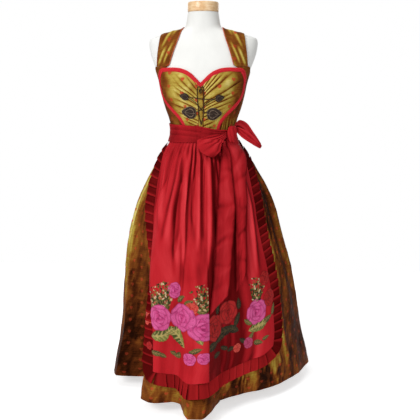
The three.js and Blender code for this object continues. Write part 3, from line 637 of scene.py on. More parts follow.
# ---- finishes -------------------------------------------------------------------------------


class Shader:
    """A node material while it is being put together."""

    def __init__(self, name: str) -> None:
        """Starts a material with one principled surface.

        Args:
            name: the material's name.
        """
        self.material = bpy.data.materials.new(name)
        self.material.use_nodes = True
        self.tree = self.material.node_tree
        self.surface = self.tree.nodes["Principled BSDF"]

    def node(self, kind: str, inputs: dict | None = None, **options: object) -> bpy.types.Node:
        """Adds a node.

        Args:
            kind: its type without the ShaderNode prefix.
            inputs: a value or a socket for each input, by name or place.
            options: its own settings.

        Returns:
            The node.
        """
        made = self.tree.nodes.new("ShaderNode" + kind)
        for key, value in options.items():
            setattr(made, key, value)
        for key, value in (inputs or {}).items():
            self.feed(made.inputs[key], value)
        return made

    def feed(self, socket: Socket, value: object) -> None:
        """Links a socket to an input, or sets its value, with an alpha of 1 for a colour.

        Args:
            socket: the input.
            value: a socket to link, or the input's own value.
        """
        if isinstance(value, Socket):
            self.tree.links.new(value, socket)
        elif socket.type == "RGBA":
            socket.default_value = (*value, 1)
        else:
            socket.default_value = value

    def math(self, operation: str, a: object, b: object = 0.0, c: object = 0.0) -> Socket:
        """One sum on two or three numbers."""
        return self.node("Math", {0: a, 1: b, 2: c}, operation=operation).outputs[0]

    def cloth(self) -> Socket:
        """Places on the flat cloth, in metres."""
        return self.node("UVMap", uv_map="cloth").outputs[0]

    def tone(self) -> Socket:
        """The cloth's tone, from the shade of its folds to their lit sides."""
        return self.node("Attribute", attribute_name="tone").outputs["Fac"]

    def stretched(self, vector: Socket, scale: Triple) -> Socket:
        """A vector with its axes multiplied."""
        return self.node("VectorMath", {0: vector, 1: scale}, operation="MULTIPLY").outputs[0]

    def noise(self, vector: Socket, scale: float, detail: float = 2.0,
              distortion: float = 0.0) -> Socket:
        """Noise from 0 to 1 at a scale."""
        inputs = {"Vector": vector, "Scale": scale, "Detail": detail, "Distortion": distortion}
        return self.node("TexNoise", inputs).outputs[0]

    def ramp(self, factor: Socket, stops: Sequence[tuple[float, Colour]]) -> Socket:
        """Colours along a factor, smooth between the stops.

        Args:
            factor: where the colours are read.
            stops: rows of a place and a colour.

        Returns:
            The colour's socket.
        """
        made = self.node("ValToRGB", {0: factor})
        elements = made.color_ramp.elements
        while len(elements) < len(stops):
            elements.new(0.5)
        for element, (place, colour) in zip(elements, stops):
            element.position = place
            element.color = (*colour, 1)
        return made.outputs[0]

    def blend(self, factor: object, a: object, b: object, mode: str = "MIX") -> Socket:
        """Mixes two colours.

        Args:
            factor: share of the second colour.
            a: first colour.
            b: second colour.
            mode: how the second colour is laid on the first.

        Returns:
            The mixed colour's socket.
        """
        made = self.node("Mix", data_type="RGBA", blend_type=mode)
        sockets = [s for s in made.inputs if s.enabled]
        for socket, value in zip(sockets, (factor, a, b)):
            self.feed(socket, value)
        return next(s for s in made.outputs if s.enabled)

    def span(self, value: object, low: float, high: float, start: float = 0.0, end: float = 1.0) -> Socket:
        """A value's range from low to high brought to start to end."""
        inputs = {"Value": value, "From Min": low, "From Max": high, "To Min": start, "To Max": end}
        return self.node("MapRange", inputs).outputs[0]

    def bump(self, height: Socket, distance: float, strength: float = 1.0,
             normal: Socket | None = None) -> Socket:
        """Normals bent by a height.

        Args:
            height: height from 0 to 1.
            distance: metres that a height of 1 stands for.
            strength: share of the effect.
            normal: a normal that is already bent.

        Returns:
            The bent normal.
        """
        made = self.node("Bump", {"Height": height, "Distance": distance, "Strength": strength})
        if normal is not None:
            self.feed(made.inputs["Normal"], normal)
        return made.outputs[0]

    def finish(self, **inputs: object) -> Material:
        """Sets the surface's inputs, with an underscore for each space in a name.

        Args:
            inputs: a colour, number or socket for each input.

        Returns:
            The material.
        """
        for key, value in inputs.items():
            self.feed(self.surface.inputs[key.replace("_", " ")], value)
        return self.material


def weave_height(shader: Shader, cloth: Socket, threads: float) -> Socket:
    """Height of a plain weave from 0 to 1.

    Args:
        shader: the material.
        cloth: places on the cloth, in metres.
        threads: threads a metre.

    Returns:
        The height.
    """
    parts = shader.node("SeparateXYZ", {0: cloth})
    turns = threads * math.tau
    waves = [shader.math("SINE", shader.math("MULTIPLY", parts.outputs[k], turns)) for k in (0, 1)]
    return shader.span(shader.math("MULTIPLY", *waves), -1, 1)


@dataclass(frozen=True)
class Taffeta:
    """Changeant taffeta: gold where it faces the light, copper brown where it turns away."""

    name: str = "changeant_taffeta"
    deep: Colour = (0.014, 0.003, 0.001)
    brown: Colour = (0.075, 0.017, 0.004)
    copper: Colour = (0.200, 0.058, 0.010)
    olive: Colour = (0.300, 0.170, 0.022)
    gold: Colour = (0.470, 0.350, 0.065)
    bright: Colour = (0.680, 0.560, 0.180)
    heart: Colour = (0.480, 0.050, 0.022)
    pitch: float = 0.047
    heart_size: float = 0.0062

    def hearts(self, s: Shader, cloth: Socket) -> Socket:
        """Mask of the small hearts, in columns that are half a repeat apart.

        Args:
            s: the material.
            cloth: places on the cloth, in metres.

        Returns:
            1 on a heart, 0 off it.
        """
        parts = s.node("SeparateXYZ", {0: cloth})
        column = s.math("DIVIDE", parts.outputs[0], self.pitch)
        half = s.math("MULTIPLY", s.math("FLOORED_MODULO", s.math("FLOOR", column), 2.0), 0.5)
        row = s.math("ADD", s.math("DIVIDE", parts.outputs[1], self.pitch), half)
        scale = self.pitch / self.heart_size
        x, y = (
            s.math("MULTIPLY", s.math("SUBTRACT", s.math("FRACT", place), 0.5), scale)
            for place in (column, row)
        )
        notch = s.math("MULTIPLY", s.math("SQRT", s.math("ABSOLUTE", x)), 0.62)
        lifted = s.math("SUBTRACT", y, s.math("SUBTRACT", notch, 0.3))
        reach = s.math("ADD", s.math("MULTIPLY", x, x), s.math("MULTIPLY", lifted, lifted))
        return s.span(reach, 1.15, 0.8)

    def build(self) -> Material:
        """The material."""
        s = Shader(self.name)
        cloth = s.cloth()
        slub = s.noise(s.stretched(cloth, (16, 420, 1)), 1.0, 2.0)
        patch = s.noise(s.stretched(cloth, (17, 9, 1)), 1.0, 4.0, 1.2)
        fleck = s.noise(cloth, 260.0, 3.0)
        tone = s.math("ADD", s.tone(), s.span(patch, 0.3, 0.7, -0.12, 0.12))
        tone = s.math("ADD", tone, s.span(slub, 0.25, 0.75, -0.07, 0.07))
        tone = s.math("ADD", tone, s.span(fleck, 0.25, 0.75, -0.05, 0.05))
        stops = ((0.0, self.deep), (0.18, self.brown), (0.4, self.copper), (0.58, self.olive),
                 (0.8, self.gold), (1.0, self.bright))
        # the hearts show less where the tone, with its painted shade, is dark
        shown = s.span(tone, 0.15, 0.75, 0.25, 0.9)
        colour = s.blend(s.math("MULTIPLY", self.hearts(s, cloth), shown), s.ramp(tone, stops), self.heart)
        folds = s.bump(s.noise(s.stretched(cloth, (30, 16, 1)), 1.0, 5.0, 0.8), 0.006, 0.55)
        normal = s.bump(weave_height(s, cloth, 1300.0), 0.00015, 0.5, s.bump(slub, 0.0003, 0.6, folds))
        rough = s.span(fleck, 0.2, 0.8, 0.40, 0.52)
        return s.finish(Base_Color=colour, Roughness=rough, Normal=normal, Specular_IOR_Level=0.015,
                        Specular_Tint=(1.0, 0.72, 0.35))


@dataclass(frozen=True)
class Satin:
    """Crimson satin with a soft lengthwise gloss."""

    name: str = "apron_satin"
    dark: Colour = (0.120, 0.003, 0.004)
    middle: Colour = (0.430, 0.014, 0.020)
    lit: Colour = (0.640, 0.042, 0.052)
    roughness: float = 0.44
    gloss: float = 0.02

    def build(self) -> Material:
        """The material."""
        s = Shader(self.name)
        cloth = s.cloth()
        thread = s.noise(s.stretched(cloth, (900, 22, 1)), 1.0, 2.0)
        cloud = s.noise(s.stretched(cloth, (14, 5, 1)), 1.0, 3.0, 0.6)
        tone = s.math("ADD", s.tone(), s.span(cloud, 0.3, 0.7, -0.12, 0.12))
        tone = s.math("ADD", tone, s.span(thread, 0.25, 0.75, -0.06, 0.06))
        colour = s.ramp(tone, ((0.0, self.dark), (0.5, self.middle), (1.0, self.lit)))
        folds = s.bump(s.noise(s.stretched(cloth, (26, 9, 1)), 1.0, 4.0, 0.7), 0.004, 0.35)
        normal = s.bump(weave_height(s, cloth, 1500.0), 0.00008, 0.35, s.bump(thread, 0.0002, 0.35, folds))
        rough = s.span(cloud, 0.2, 0.8, self.roughness - 0.05, self.roughness + 0.06)
        return s.finish(Base_Color=colour, Roughness=rough, Normal=normal, Specular_IOR_Level=self.gloss,
                        Specular_Tint=(1.0, 0.45, 0.42))


@dataclass(frozen=True)
class Thread:
    """Corded or embroidered thread, with fine stitches across it."""

    name: str
    dark: Colour
    light: Colour
    stitches: float = 700.0
    roughness: float = 0.6

    def build(self) -> Material:
        """The material."""
        s = Shader(self.name)
        cloth = s.cloth()
        parts = s.node("SeparateXYZ", {0: cloth})
        slant = s.math("ADD", parts.outputs[1], s.math("MULTIPLY", parts.outputs[0], 0.5))
        wave = s.span(s.math("SINE", s.math("MULTIPLY", slant, self.stitches * math.tau)), -1, 1)
        fleck = s.noise(cloth, 700.0, 2.0)
        factor = s.math("MULTIPLY", wave, s.span(fleck, 0.3, 0.7, 0.5, 1.0))
        colour = s.blend(factor, self.dark, self.light)
        normal = s.bump(wave, 0.0003, 0.6, s.bump(fleck, 0.0003, 0.4))
        return s.finish(Base_Color=colour, Roughness=self.roughness, Normal=normal,
                        Specular_IOR_Level=0.15)


@dataclass(frozen=True)
class FlowerThread:
    """Flower colours kept on the mesh, broken up by the weave of the border."""

    name: str = "rose_thread"

    def build(self) -> Material:
        """The material."""
        s = Shader(self.name)
        cloth = s.cloth()
        painted = s.node("Attribute", attribute_name="flower").outputs["Color"]
        blocks = s.node("TexVoronoi", {"Vector": cloth, "Scale": 420.0}).outputs["Color"]
        grain = s.node("SeparateXYZ", {0: blocks}).outputs[0]
        colour = s.blend(s.span(grain, 0.0, 1.0, 0.0, 0.5), painted, (0.5, 0.3, 0.4), "MULTIPLY")
        lit = s.blend(s.span(grain, 0.7, 1.0, 0.0, 0.35), colour, (0.9, 0.7, 0.7), "SOFT_LIGHT")
        normal = s.bump(weave_height(s, cloth, 600.0), 0.0003, 0.6, s.bump(grain, 0.0003, 0.5))
        return s.finish(Base_Color=lit, Roughness=0.55, Normal=normal, Specular_IOR_Level=0.15)


@dataclass(frozen=True)
class Jersey:
    """Off-white jersey stretched over the dress form."""

    name: str = "form_jersey"
    colour: Colour = (0.84, 0.84, 0.81)

    def build(self) -> Material:
        """The material."""
        s = Shader(self.name)
        cloth = s.cloth()
        knit = s.noise(s.stretched(cloth, (900, 600, 1)), 1.0, 1.0)
        cloud = s.noise(cloth, 9.0, 3.0)
        tint = tuple(c * 0.93 for c in self.colour)
        colour = s.blend(s.span(cloud, 0.3, 0.7), self.colour, tint)
        return s.finish(Base_Color=colour, Roughness=0.8, Normal=s.bump(knit, 0.0002, 0.5))


@dataclass(frozen=True)
class TurnedWood:
    """Pale varnished wood with its grain running round the cap."""

    name: str = "light_wood"

    def build(self) -> Material:
        """The material."""
        s = Shader(self.name)
        place = s.node("TexCoord").outputs["Object"]
        grain = s.noise(s.stretched(place, (40, 14, 160)), 1.0, 4.0, 1.5)
        broad = s.noise(s.stretched(place, (30, 10, 12)), 1.0, 3.0, 0.8)
        tone = s.math("ADD", s.math("MULTIPLY", grain, 0.55), s.math("MULTIPLY", broad, 0.55))
        stops = ((0.3, (0.50, 0.25, 0.10)), (0.5, (0.76, 0.47, 0.23)), (0.72, (0.90, 0.67, 0.41)))
        return s.finish(Base_Color=s.ramp(tone, stops), Roughness=0.38, Normal=s.bump(grain, 0.0006, 0.3),
                        Coat_Weight=0.25)


@dataclass(frozen=True)
class BrushedSteel:
    """Brushed steel of the stand."""

    name: str = "steel"

    def build(self) -> Material:
        """The material."""
        s = Shader(self.name)
        place = s.node("TexCoord").outputs["Object"]
        brush = s.noise(s.stretched(place, (60, 60, 900)), 1.0, 2.0)
        colour = s.blend(s.span(brush, 0.3, 0.7), (0.55, 0.55, 0.56), (0.72, 0.72, 0.73))
        return s.finish(Base_Color=colour, Roughness=s.span(brush, 0.2, 0.8, 0.28, 0.42), Metallic=0.95,
                        Normal=s.bump(brush, 0.0002, 0.3))


# ---- shapes that the pieces share -----------------------------------------------------------


@dataclass
class FormShape:
    """The dress form's surface: a superellipse at each height, with the bust raised on it.

    Each section is its height, half width, depth to the front and to the back, and squareness.
    """

    sections: tuple = (
        (700, 150, 86, 112, 2.1),
        (715, 158, 90, 116, 2.1),
        (770, 161, 93, 116, 2.1),
        (830, 150, 90, 104, 2.1),
        (890, 128, 87, 88, 2.1),
        (950, 112, 84, 78, 2.1),
        (1000, 121, 90, 84, 2.15),
        (1050, 138, 100, 90, 2.3),
        (1100, 151, 111, 96, 2.4),
        (1135, 158, 113, 100, 2.4),
        (1180, 171, 103, 104, 2.4),
        (1215, 185, 90, 104, 2.3),
        (1250, 196, 78, 98, 2.3),
        (1280, 200, 68, 88, 2.3),
        (1296, 197, 62, 80, 2.3),
        (1308, 165, 58, 74, 2.2),
        (1318, 126, 55, 68, 2.2),
        (1328, 83, 54, 62, 2.1),
        (1341, 66, 54, 56, 2.0),
        (1392, 56, 56, 54, 2.0),
    )
    bust_angle: float = 31.0
    bust_height: float = 1122.0
    bust_rise: float = 11.0
    bust_spread: Pair = (17.0, 36.0)

    def __post_init__(self) -> None:
        """Makes the curves of the sections' columns."""
        self.half, self.front, self.back, self.power = (Curve(self.sections, k) for k in (1, 2, 3, 4))

    def radius(self, angle: Array, z: Array) -> Array:
        """Radius of the form.

        Args:
            angle: angles in degrees.
            z: heights.

        Returns:
            Distances from the pole axis.
        """
        turn = np.radians(angle)
        depth = np.where(np.cos(turn) > 0, self.front(z), self.back(z))
        power = self.power(z)
        total = np.abs(np.sin(turn) / self.half(z)) ** power + np.abs(np.cos(turn) / depth) ** power
        side = (np.abs(wrapped(angle)) - self.bust_angle) / self.bust_spread[0]
        level = (z - self.bust_height) / self.bust_spread[1]
        return total ** (-1 / power) + self.bust_rise * np.exp(-side * side - level * level)

    def point(self, angle: Array, z: Array, out: Array | float = 0.0) -> Array:
        """Point on the form, moved out along its normal."""
        return on_surface(self.radius, angle, z, out)

    def degrees(self, distance: Array, angle: Array, z: Array) -> Array:
        """The angle that a distance round the form stands for."""
        return np.degrees(distance / self.radius(angle, z))


@dataclass
class SkirtShape:
    """The skirt's surface: its flare, the pipe and the valley of its hem, gathers and folds."""

    form: FormShape
    # angle and reach of the hem
    plan: tuple = (
        (-180, 400), (-161, 383), (-141, 406), (-121, 376), (-104, 362), (-88, 346), (-76, 352),
        (-66, 358), (-56, 347), (-48, 338), (-40, 345), (-34, 368), (-28, 396), (-22, 404),
        (-16, 385), (-10, 366), (0, 362), (10, 358), (16, 343), (24, 325), (34, 319), (46, 331),
        (58, 346), (67, 357), (78, 378), (88, 398), (98, 420), (108, 430), (119, 406), (133, 384),
        (149, 410), (165, 385),
    )
    # height and share of that reach
    flare: tuple = (
        (45, 1), (113, 0.95), (169, 0.9), (250, 0.85), (326, 0.81), (395, 0.77), (455, 0.73),
        (507, 0.69), (584, 0.625), (643, 0.565), (694, 0.5), (744, 0.41), (805, 0.29),
        (868, 0.17), (890, 0.11), (917, 0.05), (940, 0.012), (955, 0),
    )
    sway: Triple = (-13.0, 600.0, 160.0)  # reach, height and spread
    pipe_reach: float = 122.0
    pipe_across: tuple = (
        (-12, 0), (-8, 0.1), (-5, 0.45), (-3, 0.78), (-1, 1), (4, 1), (8.3, 0.62), (11, 0.28), (15, 0),
    )
    pipe_down: tuple = ((45, 1), (100, 0.62), (160, 0.45), (300, 0.33), (450, 0.2), (700, 0))
    valley_reach: float = -96.0
    valley_across: tuple = (
        (-64, 0), (-58, 0.5), (-53, 0.87), (-48, 1), (-43, 1), (-38, 0.76), (-34, 0.36), (-31, 0.08),
        (-29, 0),
    )
    valley_down: tuple = ((45, 1), (200, 0.75), (392, 0.45), (569, 0.15), (700, 0))
    # height, left edge and right edge of the apron
    apron_sides: tuple = (
        (150, -22, 52), (187, -22.5, 56.5), (255, -23.5, 59.5), (324, -25, 60), (392, -27.5, 60.3),
        (495, -33, 60.4), (570, -36.5, 59.6), (643, -41, 59.6), (716, -46.5, 62), (788, -55, 67),
        (859, -63, 73), (905, -72, 78), (946, -76, 80),
    )
    gathers: int = 40
    folds: int = 11
    # height, depth of the gathers and of the broad folds
    depth: tuple = (
        (45, 0, 5), (300, 0, 8), (600, 0.8, 9), (760, 3.6, 6), (850, 4.6, 2), (915, 2.6, 0.5),
        (940, 0.8, 0), (955, 0, 0),
    )

    def __post_init__(self) -> None:
        """Makes the curves of the tables."""
        self.reach = Curve(self.plan, period=360)
        self.share = Curve(self.flare)
        self.pipe = Curve(self.pipe_across), Curve(self.pipe_down)
        self.valley = Curve(self.valley_across), Curve(self.valley_down)
        self.left, self.right = Curve(self.apron_sides, 1), Curve(self.apron_sides, 2)
        self.gather_depth, self.fold_depth = Curve(self.depth, 1), Curve(self.depth, 2)

    def body(self, angle: Array, z: Array) -> Array:
        """Radius of the skirt without its gathers and folds.

        Args:
            angle: angles in degrees.
            z: heights.

        Returns:
            Distances from the pole axis.
        """
        side = wrapped(angle)
        waist = self.form.radius(side, WAIST) + EASE
        pipe = self.pipe_reach * self.pipe[0](side) * self.pipe[1](z)
        valley = self.valley_reach * self.valley[0](side) * self.valley[1](z)
        reach, level, spread = self.sway
        sway = reach * np.sin(np.radians(side)) * np.exp(-(((z - level) / spread) ** 2))
        return waist + (self.reach(side) - waist) * self.share(z) + pipe + valley + sway

    def outside_apron(self, angle: Array, z: Array) -> Array:
        """0 under the apron, 1 well outside it."""
        side = wrapped(angle)
        return smoothstep(np.maximum(self.left(z) - side, side - self.right(z)), 4, 16)

    def pleats(self, angle: Array, z: Array) -> Array:
        """Depth of the gathers and folds over the body.

        Args:
            angle: angles in degrees.
            z: heights.

        Returns:
            Millimetres out of the body.
        """
        drift = 14 * np.sin(np.radians(3 * angle)) + 9 * np.sin(np.radians(7 * angle + 40))
        gather = self.gather_depth(z) * ring(self.gathers * angle / 360)
        fold = self.fold_depth(z) * (ring(self.folds * (angle + drift) / 360) - 0.4)
        return (gather + fold) * self.outside_apron(angle, z)


class FlatMap:
    """Distances along the skirt at each height, and the way back from a distance to an angle."""

    LOW, HIGH, STEP = -100.0, 100.0, 0.5
    BOTTOM, TOP, RISE = 60.0, 960.0, 10.0

    def __init__(self, radius: Radius) -> None:
        """Measures the skirt.

        Args:
            radius: the skirt's radius at an angle and a height.
        """
        angles = np.arange(self.LOW, self.HIGH + self.STEP / 2, self.STEP)
        heights = np.arange(self.BOTTOM, self.TOP + self.RISE / 2, self.RISE)
        a, z = np.meshgrid(angles, heights)
        steps = np.linalg.norm(np.diff(around(radius(a, z), a, z), axis=1), axis=-1)
        total = np.concatenate((np.zeros((len(heights), 1)), np.cumsum(steps, 1)), 1)
        self.table = total - total[:, [np.searchsorted(angles, 0)]]

    def distance(self, angle: Array, z: Array) -> Array:
        """Distance from the centre front along the skirt.

        Args:
            angle: angles in degrees.
            z: heights.

        Returns:
            Distances in millimetres.
        """
        column = np.clip((np.asarray(angle, float) - self.LOW) / self.STEP, 0, self.table.shape[1] - 1.001)
        row = np.clip((np.asarray(z, float) - self.BOTTOM) / self.RISE, 0, self.table.shape[0] - 1.001)
        column, row = np.broadcast_arrays(column, row)
        i, j = row.astype(int), column.astype(int)
        u, v = column - j, row - i
        low = lerp(self.table[i, j], self.table[i, j + 1], u)
        return lerp(low, lerp(self.table[i + 1, j], self.table[i + 1, j + 1], u), v)

    def angle(self, distance: Array, z: Array) -> Array:
        """The angle at a distance from the centre front.

        Args:
            distance: distances in millimetres.
            z: heights.

        Returns:
            Angles in degrees.
        """
        distance, z = np.broadcast_arrays(np.asarray(distance, float), np.asarray(z, float))
        low, high = np.full(distance.shape, self.LOW), np.full(distance.shape, self.HIGH)
        for _ in range(22):
            middle = (low + high) / 2
            short = self.distance(middle, z) < distance
            low, high = np.where(short, middle, low), np.where(short, high, middle)
        return low


@dataclass(frozen=True)
class Shadow:
    """A painted shadow line on the apron, or a painted highlight line where depth is below 0.

    It runs through rows of a height and an angle; wide is its half width in degrees.
    """

    rows: tuple[Pair, ...]
    wide: float
    depth: float

    def at(self, angle: Array, z: Array) -> Array:
        """How much darker a place is.

        Args:
            angle: angles in degrees.
            z: heights.

        Returns:
            The loss of tone at each place.
        """
        off = (angle - Curve(self.rows)(z)) / self.wide
        ends = smoothstep(z, self.rows[0][0] - 15, self.rows[0][0] + 25)
        return self.depth * np.exp(-off * off) * ends * smoothstep(self.rows[-1][0] - z, -20, 20)


@dataclass
class ApronShape:
    """The apron's surface over the skirt."""

    skirt: SkirtShape
    top: float = 946.0
    lift: float = 4.6
    gathers: int = 20
    folds: int = 7
    # share across the apron and height of its lower edge
    hem: tuple = (
        (0, 152), (0.12, 141), (0.3, 132), (0.45, 140), (0.6, 147), (0.75, 158), (0.9, 168), (1, 192),
    )
    # height, depth of the gathers and of the broad folds
    depth: tuple = (
        (120, 0, 3.5), (420, 0, 4.5), (640, 0, 2.5), (780, 0.5, 1), (850, 2.2, 1), (890, 4, 1),
        (918, 2.2, 0), (930, 0, 0),
    )
    creases: tuple[Crease, ...] = ()
    # angle, lowest and highest height, and step of the sharp fold beside the centre
    sharp_fold: tuple[float, float, float, float] = (6.5, 120.0, 560.0, 5.0)

    def __post_init__(self) -> None:
        """Makes the curves of the tables and the flat map."""
        self.lower = Curve(self.hem)
        self.gather_depth, self.fold_depth = Curve(self.depth, 1), Curve(self.depth, 2)
        self.map = FlatMap(self.skirt.body)

    def angle_at(self, across: Array, z: Array) -> Array:
        """The angle at a share across the apron."""
        return lerp(self.skirt.left(z), self.skirt.right(z), across)

    def base(self, angle: Array, z: Array) -> Array:
        """How far the apron's inner face lies over the skirt's body."""
        return CLOTH + 1.2 + self.lift * smoothstep(WAIST - z, 10, 90)

    def rise(self, angle: Array, z: Array) -> Array:
        """How far gathers, folds and creases lift the apron further.

        Args:
            angle: angles in degrees.
            z: heights.

        Returns:
            Heights in millimetres.
        """
        left, right = self.skirt.left(z), self.skirt.right(z)
        across = (angle - left) / (right - left)
        drift = 0.035 * np.sin(9 * across + 1) + 0.02 * np.sin(23 * across)
        uneven = 0.045 * value_noise(across * 9, z / 400, 3)
        gather = self.gather_depth(z) * ring(self.gathers * (across + 0.6 * uneven)) ** 0.8
        fold = self.fold_depth(z) * ring(self.folds * (across + drift))
        edge = smoothstep(np.minimum(across, 1 - across), 0, 0.05)
        radius = self.skirt.body(angle, z)
        creases = sum((c.relief(angle, z, radius) for c in self.creases), 0.0)
        fine = 1.1 * crumple(across * 9, z / 90, 8) * smoothstep(z, 120, 300) * smoothstep(920 - z, 0, 150)
        place, low, high, step = self.sharp_fold
        ledge = smoothstep(angle, place - 9, place - 0.5) * smoothstep(place + 0.45 - angle, 0, 0.4)
        fine = fine + step * ledge * smoothstep(high - z, 0, 200)
        return np.maximum(gather + fold + (creases + fine) * edge, 0)

    def point(self, angle: Array, z: Array, out: Array | float = 0.0) -> Array:
        """Point on the apron's outer face, moved out."""
        over = self.base(angle, z) + self.rise(angle, z) + CLOTH
        return on_surface(self.skirt.body, angle, z, over + out)


@dataclass
class BowLayer:
    """The layer that the bow lies on: over the sash, and clear of the apron's folds."""

    skirt: SkirtShape
    tail_lift: float = 20.0

    def sash_radius(self, angle: Array, z: Array) -> Array:
        """Radius of the sash's inner face, over the bodice above the waist and over the apron below.

        Args:
            angle: angles in degrees.
            z: heights.

        Returns:
            Distances from the pole axis.
        """
        over_bodice = self.skirt.form.radius(angle, np.maximum(z, WAIST)) + EASE + CLOTH + 4.6
        over_apron = self.skirt.body(angle, np.minimum(z, WAIST)) + 2 * CLOTH + 6.2
        return np.maximum(over_bodice, over_apron)

    def radius(self, angle: Array, z: Array) -> Array:
        """Radius of the layer.

        Args:
            angle: angles in degrees.
            z: heights.

        Returns:
            Distances from the pole axis.
        """
        blend = smoothstep(z, 890, 935)
        low = self.skirt.body(angle, np.minimum(z, WAIST)) + self.tail_lift
        high = self.sash_radius(angle, np.maximum(z, 925)) + CLOTH + 0.8
        return np.maximum(lerp(low, high, blend), lerp(low, high, 1 - 0.5 * (1 - blend)) - 6)


# ---- the dress form and its stand -----------------------------------------------------------


@dataclass
class DressForm:
    """The limbless form with its wooden neck cap, pole and base plate."""

    shape: FormShape
    columns: int = 120
    rows: int = 120
    base_radius: float = 150.0
    base_height: float = 12.0
    pole_radius: float = 16.0
    cap: tuple[float, float, float, float] = (56.7, 1392.0, 1427.0, 5.0)

    def build(self) -> None:
        """Builds the torso, the cap and the stand."""
        self._torso(Jersey().build())
        steel = BrushedSteel().build()
        radius, low, high, edge = self.cap
        cap = turned("neck_cap", rounded(radius, low, high, edge, 8), 128, TurnedWood().build())
        attach(cap, "light_wood", "form_neck_cap")
        base = turned("base_plate", rounded(self.base_radius, 0, self.base_height, 3), 128, steel)
        attach(base, "steel", "form_base")
        collar = [(0, 12.3), (16, 12.3), (24, 12.4), (25, 14), (23, 24), (17, 27)]
        top = self.shape.sections[0][0] - SEAM
        shaft = [(self.pole_radius, 28), (self.pole_radius, top), (0, top)]
        attach(turned("pole", [*collar, *shaft], 48, steel), "steel", "form_pole")

    def _torso(self, jersey: Material) -> None:
        """Builds the torso as one closed skin.

        Args:
            jersey: the material of its cover.
        """
        bottom, top = self.shape.sections[0][0], self.shape.sections[-1][0] - SEAM
        angle = np.linspace(0, 360, self.columns, endpoint=False)[None]
        z = np.linspace(bottom, top, self.rows)[:, None]
        points = self.shape.point(angle, z, -1.0)
        points[..., 2] = z
        lid, floor = points[-1:].copy(), points[:1].copy()
        lid[..., :2] *= 0.02
        floor[..., :2] *= 0.02
        points = np.concatenate((floor, points, lid))
        flat = stacked(angle * 2.6, np.concatenate(([[bottom - 100]], z, [[top + 60]])))
        vertices = points.reshape(-1, 3)
        index = np.arange(len(vertices)).reshape(points.shape[:2])
        index = np.concatenate((index, index[:, :1]), 1)
        faces = [*grid_faces(index).tolist(), index[-1, :-1].tolist(), index[0, -2::-1].tolist()]
        mesh = new_mesh("torso", vertices, faces)
        lay_flat(mesh, flat.reshape(-1, 2))
        torso = new_object("torso", mesh, jersey)
        mesh.set_sharp_from_angle(angle=math.radians(50))
        attach(torso, "form_cloth", "form_torso")


# ---- the bodice -----------------------------------------------------------------------------


class Side(Enum):
    """The two halves of the bodice, with their sign along X."""

    LEFT = -1
    RIGHT = 1

    @property
    def word(self) -> str:
        """The half's name."""
        return self.name.lower()


